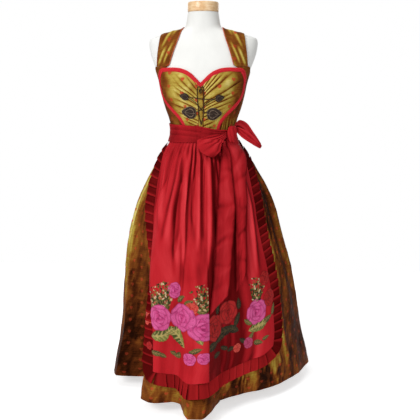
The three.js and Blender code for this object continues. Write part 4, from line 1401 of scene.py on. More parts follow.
@dataclass
class Bodice:
    """The gathered heart, side and back panels, straps, tape, leaves and their stems."""

    form: FormShape
    taffeta: Material
    # angle and height of the heart's half outline, from the V to the waist
    heart: tuple = (
        (9, 1153), (19, 1171), (29, 1182.5), (39, 1189), (49, 1191.5), (58, 1191), (64.5, 1184),
        (69, 1170), (72.5, 1150), (74, 1126), (72, 1095), (66, 1070), (56.5, 1044), (47, 1019),
        (40.5, 995), (36, WAIST + SEAM),
    )
    gathers: int = 13
    # share along the strap, distance of its inner and outer edge from the centre
    strap: tuple = ((0, 118, 163), (0.25, 99, 160), (0.5, 75, 151), (0.75, 67, 141), (1, 62, 124))
    strap_pivot: Pair = (8.0, 1225.0)
    tape_half: float = 6.5
    rib: float = 3.4

    def __post_init__(self) -> None:
        """Makes the outline curve and the strap's edges."""
        self.outline = Spline([(a * BODICE_DEGREE, z) for a, z in self.heart])
        self.inner, self.outer = Curve(self.strap, 1), Curve(self.strap, 2)

    def build(self) -> None:
        """Builds both halves and what joins them."""
        tape = Thread("ribbed_tape", (0.42, 0.008, 0.014), (0.82, 0.030, 0.045), 300.0).build()
        piping = Thread("piping_cord", (0.40, 0.05, 0.012), (0.72, 0.17, 0.05), 500.0).build()
        for side in Side:
            self._heart_half(side)
            self._side_panel(side)
            self._back_half(side)
            self._strap(side)
            self._piping(side, piping)
            self._tape(side, tape)
        self._placket()

    def _heart_at(self, share: Array) -> tuple[Array, Array]:
        """Angle and height of the heart's outline at a share of its length."""
        p = self.outline.at(share)
        return p[..., 0] / BODICE_DEGREE, p[..., 1]

    def _raised(self, angle: Array, z: Array, rise: Array) -> tuple[Array, Array]:
        """The bodice's smooth outer face, and the same with its folds raised."""
        return self.form.point(angle, z, BODICE_FACE), self.form.point(angle, z, BODICE_FACE + rise)

    def _heart_half(self, side: Side) -> None:
        """One half of the heart, with uneven gathers fanning out from the placket.

        Args:
            side: the side that it is on.
        """
        u, v = shares(columns=150, rows=70)
        far_angle, far_z = self._heart_at(u)
        start_angle, start_z = PLACKET + 0.15, lerp(PLACKET_TOP + 3, WAIST + SEAM, u)
        end = far_angle - self.form.degrees(SEAM / 2, far_angle, far_z)
        angle, z = lerp(start_angle, end, v), lerp(start_z, far_z, v)
        run = np.hypot((far_angle - start_angle) * BODICE_DEGREE, far_z - start_z)
        seed = 2 + side.value
        place = self.gathers * (u + 0.022 * value_noise(u * 7, 0 * u, seed) * 2)
        number = np.floor(place)
        strength = 0.75 + 0.45 * value_noise(number + 0.5, 0 * u, seed + 9)
        reach = 0.62 + 0.34 * value_noise(number + 0.5, 0 * u + 3, seed + 4)
        fade = smoothstep(v, -0.25, 0.12) * smoothstep(reach + 0.25 - v, 0, 0.35)
        fade = fade * smoothstep((1 - v) * run, 7, 26)
        ridge = np.abs(np.sin(np.pi * place)) ** 0.75
        small = 0.5 * np.abs(np.sin(2.0 * np.pi * place + 1.3 * v)) ** 0.8 * smoothstep(0.42 - v, 0, 0.3)
        top_fade = smoothstep(u, 0.0, 0.06)
        rise = (2.9 * strength * ridge + 1.0 * small) * fade * top_fade + 0.35 * crumple(u * 16, v * 7, seed)
        body, points = self._raised(side.value * angle, z, rise)
        # painted shade: darker towards the flanks and, lower down, towards the sides, and in the valleys
        # between the gathers
        flank = smoothstep(angle, 40, 64)
        base = 0.80 - 0.42 * flank + 0.10 * value_noise(angle / 7, z / 22, seed + 6)
        base = base - 0.22 * smoothstep(1070 - z, 0, 110) * smoothstep(angle, 20, 44)
        valley = (1 - ridge) ** 1.4 * fade * top_fade
        tone = np.clip(relief_tone(points, body, base, 0.75) - 0.62 * valley, 0, 1)
        flat = np.stack((side.value * (angle * BODICE_DEGREE + 8), z + 0 * angle), -1)
        panel = Sheet(f"heart_panel_{side.word}", points, flat, tone)
        panel.sew(self.taffeta, "taffeta", f"bodice_front_{side.word}")

    def _side_panel(self, side: Side) -> None:
        """The underarm panel from the heart to the back seam.

        Args:
            side: the side that it is on.
        """
        armhole = Curve(((56, 1197.7), (76, 1197.7), (84, 1181), (94, 1172), (BACK_SEAM, 1196)))
        u = np.linspace(0, 1, 56)[None]
        step = np.linspace(0, 13, 92)[:, None]
        near_angle, near_z = self._heart_at(1 - np.minimum(step, 12) / 18)
        last = np.clip(step - 12, 0, 1)
        near_angle, near_z = lerp(near_angle, 57.0, last), lerp(near_z, STRAP_FRONT - SEAM, last)
        start = near_angle + self.form.degrees(SEAM / 2, near_angle, near_z)
        share = (near_z - WAIST - SEAM) / (STRAP_FRONT - WAIST - 2 * SEAM)
        level = lerp(WAIST + SEAM, 1172, share)
        angle = lerp(start, BACK_SEAM - self.form.degrees(SEAM / 2, BACK_SEAM, level), u)
        height = lerp(WAIST + SEAM, armhole(angle), share)
        z = lerp(near_z, height, np.clip(3.5 * u, 0, 1))
        low = smoothstep(1040 - z, 0, 60)
        uneven = 0.5 * value_noise(angle / 9, z / 60, 5)
        folds = 1.3 * ring(angle / 5.5 + uneven) * low * smoothstep(z - WAIST, -10, 12)
        rise = folds + 0.6 * crumple(angle / 9, z / 70, 6 + side.value)
        body, points = self._raised(side.value * angle, z, rise)
        base = 0.33 + 0.12 * value_noise(angle / 14, z / 90, 12) + 0.1 * low
        tone = relief_tone(points, body, base, 1.5)
        flat = np.stack((side.value * angle * 2.5, z + 0 * angle), -1)
        panel = Sheet(f"side_panel_{side.word}", points, flat, tone)
        panel.sew(self.taffeta, "taffeta", f"bodice_side_{side.word}")

    def _back_half(self, side: Side) -> None:
        """One half of the back, from the side seam to the centre back seam.

        Args:
            side: the side that it is on.
        """
        edge = Curve(((BACK_SEAM, 1196), (118, 1224), (125, 1261.7), (155, 1261.7), (168, 1248), (180, 1244)))
        u, v = shares(columns=60, rows=80)
        level = lerp(WAIST + SEAM, 1200, v)
        start = BACK_SEAM + self.form.degrees(SEAM / 2, BACK_SEAM, level)
        angle = lerp(start, 180 - self.form.degrees(SEAM / 2, 180, level), u)
        z = lerp(WAIST + SEAM, edge(angle), v)
        low = smoothstep(1030 - z, 0, 60) * smoothstep(z - WAIST, -10, 12)
        rise = 1.1 * ring(angle / 6.5 + 0.4 * value_noise(angle / 8, z / 70, 7)) * low
        rise = rise + 0.7 * crumple(angle / 11, z / 80, 15 + side.value)
        body, points = self._raised(side.value * angle, z, rise)
        base = 0.40 + 0.10 * value_noise(angle / 16, z / 80, 21 + side.value)
        flat = np.stack((side.value * angle * 2.2, z + 0 * angle), -1)
        panel = Sheet(f"back_panel_{side.word}", points, flat, relief_tone(points, body, base, 1.0))
        panel.sew(self.taffeta, "taffeta", f"bodice_back_{side.word}")

    def _field(self, points: Array) -> Array:
        """Distance-like value of points, below 0 inside the form."""
        angle = np.degrees(np.arctan2(points[..., 0], -points[..., 1]))
        return np.hypot(points[..., 0], points[..., 1]) - self.form.radius(angle, points[..., 2])

    def _turn_at(self, x: Array, z: float, face: int) -> Array:
        """Turn of the ray over the shoulder that meets the form at a height.

        Args:
            x: distance from the centre.
            z: the height.
            face: -1 on the front, 1 on the back.

        Returns:
            Radians over the strap's pivot.
        """
        pivot_y, pivot_z = self.strap_pivot
        inside, outside = np.full(x.shape, pivot_y), np.full(x.shape, face * 200.0)
        for _ in range(36):
            y = (inside + outside) / 2
            within = self._field(stacked(x, y, z)) < 0
            inside, outside = np.where(within, y, inside), np.where(within, outside, y)
        turn = np.arctan2(z - pivot_z, -(inside - pivot_y))
        return np.where(turn < -np.pi / 2, turn + 2 * np.pi, turn)

    def _strap_point(self, x: Array, along: Array, out: Array | float) -> Array:
        """Point of the strap's surface over the shoulder.

        Args:
            x: distance from the centre.
            along: share from the front seam to the back seam.
            out: distance over the form.

        Returns:
            Points.
        """
        x, along = np.broadcast_arrays(x, along)
        front, back = STRAP_FRONT + SEAM / 2, STRAP_BACK + SEAM / 2
        turn = lerp(self._turn_at(x, front, -1), self._turn_at(x, back, 1), along)
        direction = np.stack((0 * turn, -np.cos(turn), np.sin(turn)), -1)
        pivot = stacked(x, *self.strap_pivot)
        near, far = np.zeros(x.shape), np.full(x.shape, 220.0)
        for _ in range(36):
            middle = (near + far) / 2
            within = self._field(pivot + direction * middle[..., None]) < 0
            near, far = np.where(within, middle, near), np.where(within, far, middle)
        point = pivot + direction * near[..., None]
        steps = 1.5 * np.eye(3)
        normal = unit(np.stack([self._field(point + e) - self._field(point - e) for e in steps], -1))
        return point + normal * np.asarray(out, float)[..., None]

    def _strap(self, side: Side) -> None:
        """A shoulder strap with long slanting creases.

        Args:
            side: the side that it is on.
        """
        u, v = shares(columns=40, rows=120)
        x = lerp(self.inner(v), self.outer(v), u)
        relief = np.zeros(x.shape)
        sheen = np.zeros(x.shape)
        # across and along at the start, across and along at the end, width and height of each crease
        for a, b, c, d, width, height in (
            (0.85, 0.00, 0.55, 0.30, 0.10, 2.2),
            (0.45, 0.03, 0.20, 0.34, 0.09, 1.7),
            (0.80, 0.30, 0.30, 0.62, 0.10, 2.0),
            (0.35, 0.42, 0.10, 0.70, 0.09, 1.4),
            (0.65, 0.62, 0.30, 0.95, 0.11, 1.8),
            (0.88, 0.55, 0.70, 0.85, 0.08, 1.2),
        ):
            share = np.clip((v - b) / (d - b), 0, 1)
            off = (u - lerp(a, c, share)) / width
            fade = smoothstep((v - b) / (d - b), -0.12, 0.3) * smoothstep(1 - (v - b) / (d - b), -0.12, 0.3)
            relief = relief + height * np.exp(-off * off) * fade
            sheen = sheen + np.exp(-((off * 1.1 + 0.25) ** 2)) * fade
        edge = smoothstep(np.minimum(u, 1 - u), 0, 0.06)
        out = BODICE_FACE + (relief + 0.5 * crumple(u * 4, v * 9, 31 + side.value)) * edge
        points = self._strap_point(x, v, out)
        points[..., 0] *= side.value
        # sheen is a painted highlight along each crease; the right strap's tone is 0.08 higher than the
        # left's
        tone = np.clip(0.36 + 0.04 * side.value + 0.5 * sheen + 0.08 * value_noise(u * 3, v * 8, 17), 0, 1)
        flat = np.stack((side.value * x, 250 * v + 0 * x), -1)
        if side is Side.RIGHT:
            points, flat, tone = points[:, ::-1], flat[:, ::-1], tone[:, ::-1]
        strap = Sheet(f"shoulder_strap_{side.word}", points, flat, tone, outward=False)
        strap.sew(self.taffeta, "taffeta", f"strap_{side.word}")

    def _piping(self, side: Side, material: Material) -> None:
        """The corded piping along the strap's neck edge.

        Args:
            side: the side that it is on.
            material: its material.
        """
        radius = 1.5
        along = np.linspace(0.012, 0.988, 130)
        beside = self.inner(along) - radius - SEAM
        path = self._strap_point(beside, along, np.full(along.shape, EASE + radius))
        path[:, 0] *= side.value
        cord = corded(f"neck_piping_{side.word}", [path], radius, sides=12, twist=9.0, strands=3,
                      material=material)
        attach(cord, "piping_cord", f"strap_piping_{side.word}")

    def _tape(self, side: Side, material: Material) -> None:
        """Half of the ribbed tape round the heart, with picots along both edges.

        Args:
            side: the side that it is on.
            material: its material.
        """
        notch, drop, upper, least = (0, 1136), 5.5, 7, 0.08
        shift = [drop if i < upper else 0 for i in range(len(self.heart) + 1)]
        route = Spline([(a * BODICE_DEGREE, z - d) for (a, z), d in zip((notch, *self.heart), shift)])
        ribs = round(route.length / self.rib)
        u = np.linspace(0, 0.995, ribs * 6 + 1)[None]
        v = np.linspace(0, 1, 9)[:, None]
        at, along = route.at(u), route.direction(u)
        wave = 0.5 + 0.5 * np.cos(2 * np.pi * u * ribs)
        picot = 1 + 0.12 * wave * (np.abs(2 * v - 1) > 0.85)
        over = self.tape_half * (2 * v - 1) * picot
        start = smoothstep(u, 0, 0.02)
        angle = np.maximum((at[..., 0] - along[..., 1] * over) / BODICE_DEGREE, least)
        angle = angle * start + least * (1 - start)
        z = at[..., 1] + lerp(1.25, along[..., 0], start) * over
        crown = np.cos(np.pi * (v - 0.5)) ** 0.6
        lift = BODICE_FACE + 1.2 + 2.1 * crown + 0.75 * (wave - 0.5) * (0.35 + crown)
        points = self.form.point(side.value * angle, z, lift)
        tone = np.broadcast_to(wave, lift.shape)
        flat = stacked(over, u * route.length)
        tape = Sheet(f"heart_tape_piece_{side.word}", points, flat, tone, thickness=1.6)
        tape.sew(material, "ribbed_tape", f"heart_tape_{side.word}")

    def _placket(self) -> None:
        """The narrow strip down the centre front, with small cross gathers."""
        u, v = shares(columns=24, rows=120)
        angle = lerp(-PLACKET, PLACKET, u)
        z = lerp(WAIST + SEAM, PLACKET_TOP, v)
        edge = smoothstep(np.minimum(u, 1 - u), 0, 0.2)
        rise = 0.8 * edge + 0.9 * ring(9 * v + 0.5 * value_noise(u * 2, v * 8, 4)) * smoothstep(v, 0.55, 0.95)
        rise = rise + 0.5 * crumple(u * 2, v * 12, 9)
        body, points = self._raised(angle, z, rise)
        # painted shade along both edges of the strip, where it meets the gathers
        tone = relief_tone(points, body, 0.66 + 0.12 * value_noise(u * 2, v * 7, 2), 1.3) - 0.3 * (1 - edge)
        flat = stacked(angle * BODICE_DEGREE, z)
        Sheet("placket_strip", points, flat, np.clip(tone, 0, 1)).sew(self.taffeta, "taffeta", "placket")


@dataclass
class LeafOrnaments:
    """Dark embroidered leaves on the heart, joined by corded stems."""

    form: FormShape
    lift: float = BODICE_FACE + 2.9
    # name, angle, height, length, width and turn of each leaf
    leaves: tuple = (
        ("large_left", -21, 1036, 47, 46, 176),
        ("large_right", 24, 1031, 47, 46, 4),
        ("small_left", -26, 1093, 26, 25, 164),
        ("small_right", 31, 1088, 26, 25, 16),
    )
    # angle and height of the points that each stem passes
    stems: tuple = (
        ((-21, 1090), (-12, 1089), (-5, 1087), (1, 1085), (8, 1084), (16, 1084), (26, 1087)),
        ((-20, 1087), (-12, 1076), (-5, 1061), (0.5, 1048), (6, 1039), (12, 1035)),
        ((25, 1085), (14, 1073), (6, 1058), (0.5, 1048), (-5, 1041), (-10, 1038)),
        ((-5.8, 1121), (-5.9, 1090), (-5.2, 1060), (-4.6, 1035), (-2.8, 1015), (0.5, 992)),
        ((6.6, 1121), (6.6, 1090), (6, 1060), (5.6, 1036), (3.6, 1015), (0.5, 992)),
        ((-5.8, 1121), (-3, 1127), (0.5, 1123), (4, 1127), (6.6, 1121)),
        ((-2.6, 1109), (-1.5, 1117), (1, 1119), (3.4, 1116), (2, 1108), (0.4, 1104),
         (-1.4, 1108), (1.4, 1117)),
    )

    def build(self) -> None:
        """Builds the leaves and the stems."""
        thread = Thread("pewter_thread", (0.010, 0.006, 0.004), (0.075, 0.045, 0.030), 900.0, 0.5).build()
        stem = Thread("stem_cord", (0.022, 0.010, 0.004), (0.120, 0.060, 0.024), 900.0, 0.5).build()
        pale = Thread("pewter_highlight", (0.10, 0.065, 0.045), (0.42, 0.31, 0.22), 900.0, 0.45).build()
        for leaf in self.leaves:
            self._leaf(*leaf, thread, pale)
        self._stems(stem)

    def _place(self, leaf: tuple, a: Array, b: Array, out: Array | float) -> Array:
        """Point at a place of a leaf, given along and across it.

        Args:
            leaf: the leaf's row.
            a: places along it.
            b: places across it.
            out: height over the form.

        Returns:
            Points in millimetres.
        """
        _, angle, z, _, _, turn = leaf
        x, y = turned_by(a, b, math.radians(turn))
        return self.form.point(angle + self.form.degrees(x, angle, z), z + y, out)

    def _leaf(self, name: str, angle: float, z: float, length: float, width: float, turn: float,
              thread: Material, pale: Material) -> None:
        """One heart-shaped leaf: a domed field, a corded rim and corded veins.

        Args:
            name: name of the leaf.
            angle: angle of its middle.
            z: height of its middle.
            length: its length.
            width: its width.
            turn: turn of its length on the cloth, in degrees.
            thread: dark thread.
            pale: lighter thread of the veins.
        """
        leaf = (name, angle, z, length, width, turn)
        t = np.linspace(0, 2 * np.pi, 72, endpoint=False)
        round_it = 0.94 + 0.30 * np.exp(-((wrapped(np.degrees(t)) / 24) ** 2))
        round_it = round_it - 0.14 * np.exp(-((wrapped(np.degrees(t) - 180) / 26) ** 2))
        a, b = length / 2 * round_it * np.cos(t), width / 2 * round_it * np.sin(t)
        share = np.linspace(0.02, 1, 16)[:, None]
        stitched = 0.35 * np.abs(np.sin(9 * t + 10 * share)) + 0.3 * ring(share * 3.2)
        dome = self.lift + 0.3 + 2.1 * (1 - share**2) ** 0.5 + stitched * (1 - share**6)
        points = self._place(leaf, a * share, b * share, dome)
        flat = np.stack((a * share, b * share), -1)
        field = Sheet(f"leaf_field_{name}", points, flat, 0 * dome, thickness=1.2, wrap=True, outward=False)
        field.sew(thread, "pewter_thread", f"leaf_{name}")
        loop = np.concatenate((t, t[:1]))
        rim_a, rim_b = (np.interp(loop, t, side, period=2 * np.pi) for side in (a, b))
        rims = ((1.0, 1.0), (0.6, 3.0))  # share of the leaf's size, and height over its foot
        cords = [self._place(leaf, rim_a * size, rim_b * size, self.lift + up) for size, up in rims]
        s = np.linspace(0, 1, 24)
        vein = lerp(-length * 0.38, length * 0.44, s)
        cords.append(self._place(leaf, vein, 1.5 * np.sin(4 * s), self.lift + 3.2))
        for side in (-1, 1):
            swirl = np.pi * (0.2 + 1.5 * s)
            x = length * (-0.04 + 0.17 * (1 - 0.45 * s) * np.cos(swirl))
            y = side * width * (0.19 + 0.14 * (1 - 0.45 * s) * np.sin(swirl))
            cords.append(self._place(leaf, x, y, self.lift + 2.9))
        self._cords(f"leaf_cords_{name}", cords, 0.55 if length < 30 else 0.95, pale)

    def _cords(self, name: str, paths: Sequence[Array], radius: float, material: Material) -> None:
        """Two-strand cords along paths, as one piece."""
        attach(corded(name, paths, radius, sides=8, twist=4.0, strands=2, material=material), "pewter_thread")

    def _stems(self, cord: Material) -> None:
        """The corded stems over the placket and the gathers.

        Args:
            cord: their material.
        """
        paths = []
        for stem in self.stems:
            at = Spline(stem).at(np.linspace(0, 1, 70))
            paths.append(self.form.point(at[:, 0], at[:, 1], BODICE_FACE + 3.1))
        self._cords("leaf_stems", paths, 1.6, cord)


# ---- the skirt ------------------------------------------------------------------------------


@dataclass(frozen=True)
class SheenPatch:
    """A patch of painted sheen on the skirt that shows more gold, or of painted shade that shows more brown
    where its strength is below 0.
    """

    angle: float
    z: float
    wide: float
    tall: float
    strength: float

    def at(self, angle: Array, z: Array) -> Array:
        """Change of tone at a place.

        Args:
            angle: angles in degrees.
            z: heights.

        Returns:
            The change at each place.
        """
        x = wrapped(angle - self.angle) / self.wide
        y = (z - self.z) / self.tall
        return self.strength * np.exp(-x * x - y * y)


@dataclass
class Skirt:
    """The long skirt in four widths of taffeta, gathered into the waist."""

    shape: SkirtShape
    taffeta: Material
    row_step: float = 7.4
    mean_relief: float = 3.8
    measured_at: float = 260.0  # height where the cloth's width is measured
    # name, CAD node, start angle, end angle and columns of each width
    widths: tuple = (
        ("skirt_width_front", "skirt_front", -81, 81, 270),
        ("skirt_width_right", "skirt_side_right", 81, 153, 115),
        ("skirt_width_back", "skirt_back", 153, 207, 88),
        ("skirt_width_left", "skirt_side_left", 207, 279, 115),
    )
    creases: tuple[Crease, ...] = (
        Crease((-80, 900), (-84, 120), 24, 9, 3),
        Crease((-66, 880), (-62, 200), 20, 7, -3),
        Crease((-73, 700), (-70, 60), 16, -8, 2),
        Crease((-95, 890), (-101, 80), 30, 10, 4),
        Crease((-88, 650), (-91, 60), 15, -7, -1),
        Crease((68, 890), (74, 300), 13, 6, 2),
        Crease((78, 880), (88, 70), 28, 6, -2),
        Crease((84, 760), (97, 60), 20, -4, 2),
        Crease((94, 880), (104, 60), 28, 7, 3),
        Crease((71, 420), (74, 60), 16, 7, -2),
        Crease((112, 880), (118, 90), 30, 11, -3),
        Crease((124, 800), (128, 60), 18, -9, 2),
        Crease((138, 900), (141, 100), 30, 11, 3),
        Crease((152, 780), (155, 60), 18, -8, -2),
        Crease((166, 890), (168, 80), 28, 11, 2),
        Crease((181, 820), (183, 60), 20, -8, -3),
        Crease((196, 900), (193, 120), 30, 10, 3),
        Crease((211, 780), (208, 60), 18, -8, 2),
        Crease((226, 890), (222, 90), 28, 11, -3),
        Crease((243, 800), (240, 60), 18, -9, 1),
        Crease((255, 900), (252, 90), 26, 10, 3),
        Crease((-40, 140), (-39, 30), 16, -5, 0),
        Crease((20, 200), (24, 30), 22, 6, 0),
        Crease((38, 190), (43, 30), 22, 7, 2),
        Crease((52, 180), (57, 30), 18, -5, 0),
    )
    patches: tuple[SheenPatch, ...] = (
        SheenPatch(-76, 680, 12, 190, 0.42),
        SheenPatch(-66, 560, 5, 90, 0.22),
        SheenPatch(-84, 430, 4, 110, 0.26),
        SheenPatch(-66, 400, 4, 80, 0.24),
        SheenPatch(-92, 330, 14, 200, -0.08),
        SheenPatch(-74, 170, 16, 130, -0.10),
        SheenPatch(-101, 120, 3, 90, 0.30),
        SheenPatch(66, 600, 4, 170, 0.14),
        SheenPatch(70, 430, 4, 120, 0.30),
        SheenPatch(80, 790, 18, 150, -0.34),
        SheenPatch(84, 480, 8, 320, -0.18),
        SheenPatch(98, 300, 12, 260, -0.14),
        SheenPatch(66, 210, 5, 80, 0.28),
        SheenPatch(58, 160, 8, 50, 0.26),
        SheenPatch(36, 120, 18, 50, 0.34),
        SheenPatch(14, 90, 12, 60, -0.06),
        SheenPatch(-2, 80, 9, 60, 0.20),
        SheenPatch(-16, 110, 8, 60, 0.34),
        SheenPatch(-32, 110, 8, 60, 0.20),
        SheenPatch(128, 500, 12, 220, 0.16),
        SheenPatch(172, 420, 14, 260, 0.16),
        SheenPatch(215, 560, 12, 220, 0.16),
        SheenPatch(250, 300, 12, 200, 0.12),
    )

    def build(self) -> None:
        """Builds the four widths."""
        for name, node, start, end, columns in self.widths:
            self._width(name, node, start, end, columns)

    def _relief(self, angle: Array, z: Array) -> Array:
        """Depth of every gather, fold and crease over the skirt's body.

        Args:
            angle: angles in degrees.
            z: heights.

        Returns:
            Millimetres out of the body.
        """
        body = self.shape.body(angle, z)
        bare = self.shape.outside_apron(angle, z)
        low = smoothstep(200 - z, 0, 60)
        creases = sum((c.relief(angle, z, body) for c in self.creases), 0.0)
        fine = 1.6 * ring(angle / 3.1 + 0.9 * value_noise(angle / 5, z / 260, 41)) * smoothstep(z, 620, 900)
        crisp = 2.4 * crumple(angle / 6.5, z / 75, 44) + 1.2 * crumple(angle / 2.7, z / 33, 47)
        shown = np.maximum(bare, low)
        fade = smoothstep(WAIST - z, 0, 50)
        return self.shape.pleats(angle, z) + (creases + fine + crisp - self.mean_relief) * shown * fade

    def _width(self, name: str, node: str, start: float, end: float, columns: int) -> None:
        """One width of cloth.

        Args:
            name: name of the piece.
            node: the CAD node that it stands for.
            start: angle of its first edge.
            end: angle of its last edge.
            columns: faces across it.
        """
        z = np.arange(HEM, WAIST, self.row_step)[:, None]
        z = np.concatenate((z, [[WAIST - SEAM]]))
        u = np.linspace(0, 1, columns + 1)[None]
        gap = np.degrees(SEAM / 2 / self.shape.body(np.array((start, end)), z))
        angle = lerp(start + gap[:, :1], end - gap[:, 1:], u)
        body = on_surface(self.shape.body, angle, z, CLOTH)
        points = on_surface(self.shape.body, angle, z, CLOTH + self._relief(angle, z))
        # darker towards the bottom, with the patches' painted sheen and painted shade
        base = 0.27 - 0.10 * smoothstep(520 - z, 0, 330) + sum(p.at(angle, z) for p in self.patches)
        base = base + 0.10 * value_noise(angle / 8, z / 120, 52) + 0.07 * value_noise(angle / 3, z / 45, 53)
        # towards the back and on the right side, a higher base tone with fainter painted light and shade on
        # the folds
        far = smoothstep(np.abs(wrapped(angle)), 92, 122)
        right = smoothstep(wrapped(angle), 64, 84) * (1 - far)
        tone = relief_tone(points, body, base + 0.10 * far + 0.07 * right, 1.7 - 0.8 * far - 1.0 * right)
        level = np.full((1, 1), self.measured_at)
        reference = around(self.shape.body(angle[:1], level), angle[:1], level)
        steps = np.linalg.norm(np.diff(reference, axis=1), axis=-1)
        across = np.concatenate((np.zeros((1, 1)), np.cumsum(steps, 1)), 1)
        slope = np.linalg.norm(np.diff(body[:, columns // 2], axis=0), axis=-1)
        down = np.concatenate(((0.0,), np.cumsum(slope)))[:, None]
        Sheet(name, points, stacked(across, down), tone).sew(self.taffeta, "taffeta", node)


# ---- the apron ------------------------------------------------------------------------------


@dataclass
class Apron:
    """The apron panel and the pleated ruffle along its three free edges."""

    shape: ApronShape
    satin: Material
    ruffle_satin_in_shade: Material
    columns: int = 190
    rows: int = 148
    measured_at: float = 300.0  # height where the cloth's width is measured
    # painted shadows beside the bow's tails and in the folds' troughs, and painted highlights along the
    # folds' ridges where depth is below 0
    shadows: tuple[Shadow, ...] = (
        Shadow(((420, 8.2), (477, 8.2), (567, 9.8), (699, 13.2), (790, 17.0), (870, 22.5)), 1.5, 0.90),
        Shadow(((380, 24.0), (456, 28.0), (603, 32.0), (702, 35.5)), 2.2, 0.8),
        Shadow(((470, 41.5), (600, 45.0), (760, 54.0)), 1.4, 0.4),
        Shadow(((700, 51.0), (801, 56.0), (880, 62.0)), 1.4, 0.5),
        Shadow(((850, 33.0), (890, 22.0), (915, 16.0)), 5.0, 0.45),
        Shadow(((680, -43.0), (741, -47.0), (861, -65.0)), 2.5, 0.35),
        Shadow(((600, -24.5), (672, -24.5), (759, -25.5), (864, -31.5)), 1.4, 0.40),
        Shadow(((480, -15.0), (522, -15.5), (570, -17.5), (633, -15.0), (765, -18.5)), 1.3, 0.34),
        Shadow(((600, -1.5), (633, -2.0), (696, -5.5), (819, -4.5)), 0.9, 0.24),
        Shadow(((600, 4.8), (633, 5.0), (699, 5.0), (840, 6.5)), 0.9, 0.40),
        Shadow(((660, -27.5), (693, -30.0), (858, -53.5)), 2.0, -0.30),
        Shadow(((600, -21.5), (774, -21.5), (867, -26.0)), 1.3, -0.26),
        Shadow(((520, -9.0), (663, -10.0), (816, -16.5)), 1.4, -0.30),
        Shadow(((560, 0.0), (663, 1.0), (804, -0.5)), 1.2, -0.30),
        Shadow(((460, 5.0), (567, 8.0), (849, 11.0)), 1.0, -0.30),
        Shadow(((470, 49.0), (672, 51.5), (789, 56.0)), 1.2, -0.26),
    )
    ruffle_width: float = 40.0
    pitch: float = 30.0
    depth: float = 6.0
    # advance and height of the points of one pleat
    pleat: tuple = (
        (0.0, 0.32), (0.2, 0.62), (0.45, 0.82), (0.72, 0.93), (0.93, 1.0), (1.03, 0.98), (1.05, 0.86),
        (0.98, 0.55), (0.86, 0.42), (0.9, 0.34),
    )
    # name, CAD node, first and last share of the route, tone of the pleats' faces and gain of their edges;
    # the faces' tone is a painted shade, deepest on the side stretches, and the edges' gain a painted
    # highlight
    ruffles: tuple = (
        ("pleated_ruffle_left", "ruffle_left", 0, 0.38, 0.04, 0.34),
        ("pleated_ruffle_bottom", "ruffle_bottom", 0.38, 0.63, 0.34, 0.12),
        ("pleated_ruffle_right", "ruffle_right", 0.63, 1, 0.02, 0.34),
    )

    def build(self) -> None:
        """Builds the panel and the three stretches of ruffle."""
        self._panel()
        route = self._route()
        for name, node, start, end, *tones in self.ruffles:
            self._ruffle(name, node, start, end, tones, route)

    def _panel(self) -> None:
        """The apron panel."""
        u, v = shares(self.columns + 1, self.rows + 1)
        z = lerp(self.shape.lower(u), self.shape.top, v)
        angle = self.shape.angle_at(u, z)
        points = self.shape.point(angle, z)
        base = self.shape.base(angle, z) + CLOTH
        body = on_surface(self.shape.skirt.body, angle, z, base)
        tone = relief_tone(points, body, 0.52 + 0.06 * value_noise(u * 5, z / 160, 61), 1.05)
        # the painted shadows and highlights of the shadows table
        tone = tone - 0.85 * sum(shadow.at(angle, z) for shadow in self.shadows)
        # painted shade on the part right of the sharp fold, which turns away from the light: deeper towards
        # the bottom, with a further band from 10 to 46 degrees
        shade = smoothstep(angle, 6.4, 6.9) * (0.30 * smoothstep(560 - z, 0, 160) + 0.10)
        tone = tone - shade * smoothstep(44 - angle, 0, 14)
        tone = tone - 0.16 * smoothstep(angle, 10, 16) * smoothstep(46 - angle, 0, 8)
        level = np.full(z.shape, self.measured_at)
        across = self.shape.map.distance(self.shape.angle_at(u, level), level)
        panel = Sheet("apron_panel", points, stacked(across, z), np.clip(tone, 0, 1), thickness=0.7)
        panel.sew(self.satin, "apron_satin", "apron")

    def _route(self) -> Spline:
        """The ruffle's seam on the flat cloth, down the left, along the hem and up the right."""
        top = 902.0
        heights = np.linspace(top, 190, 60)
        across = np.linspace(0, 1, 80)
        low = self.shape.lower(across)
        corner = 12.0  # where the sides turn into the hem
        left, lower, right = (
            np.stack((self.shape.map.distance(self.shape.angle_at(place, level), level), level), -1)
            for place, level in ((0.0, heights), (across, low), (1.0, heights[::-1]))
        )
        sides = left[left[:, 1] > low[0] + corner], right[right[:, 1] > low[-1] + corner]
        return Spline(np.concatenate((sides[0], lower, sides[1])), steps=4)

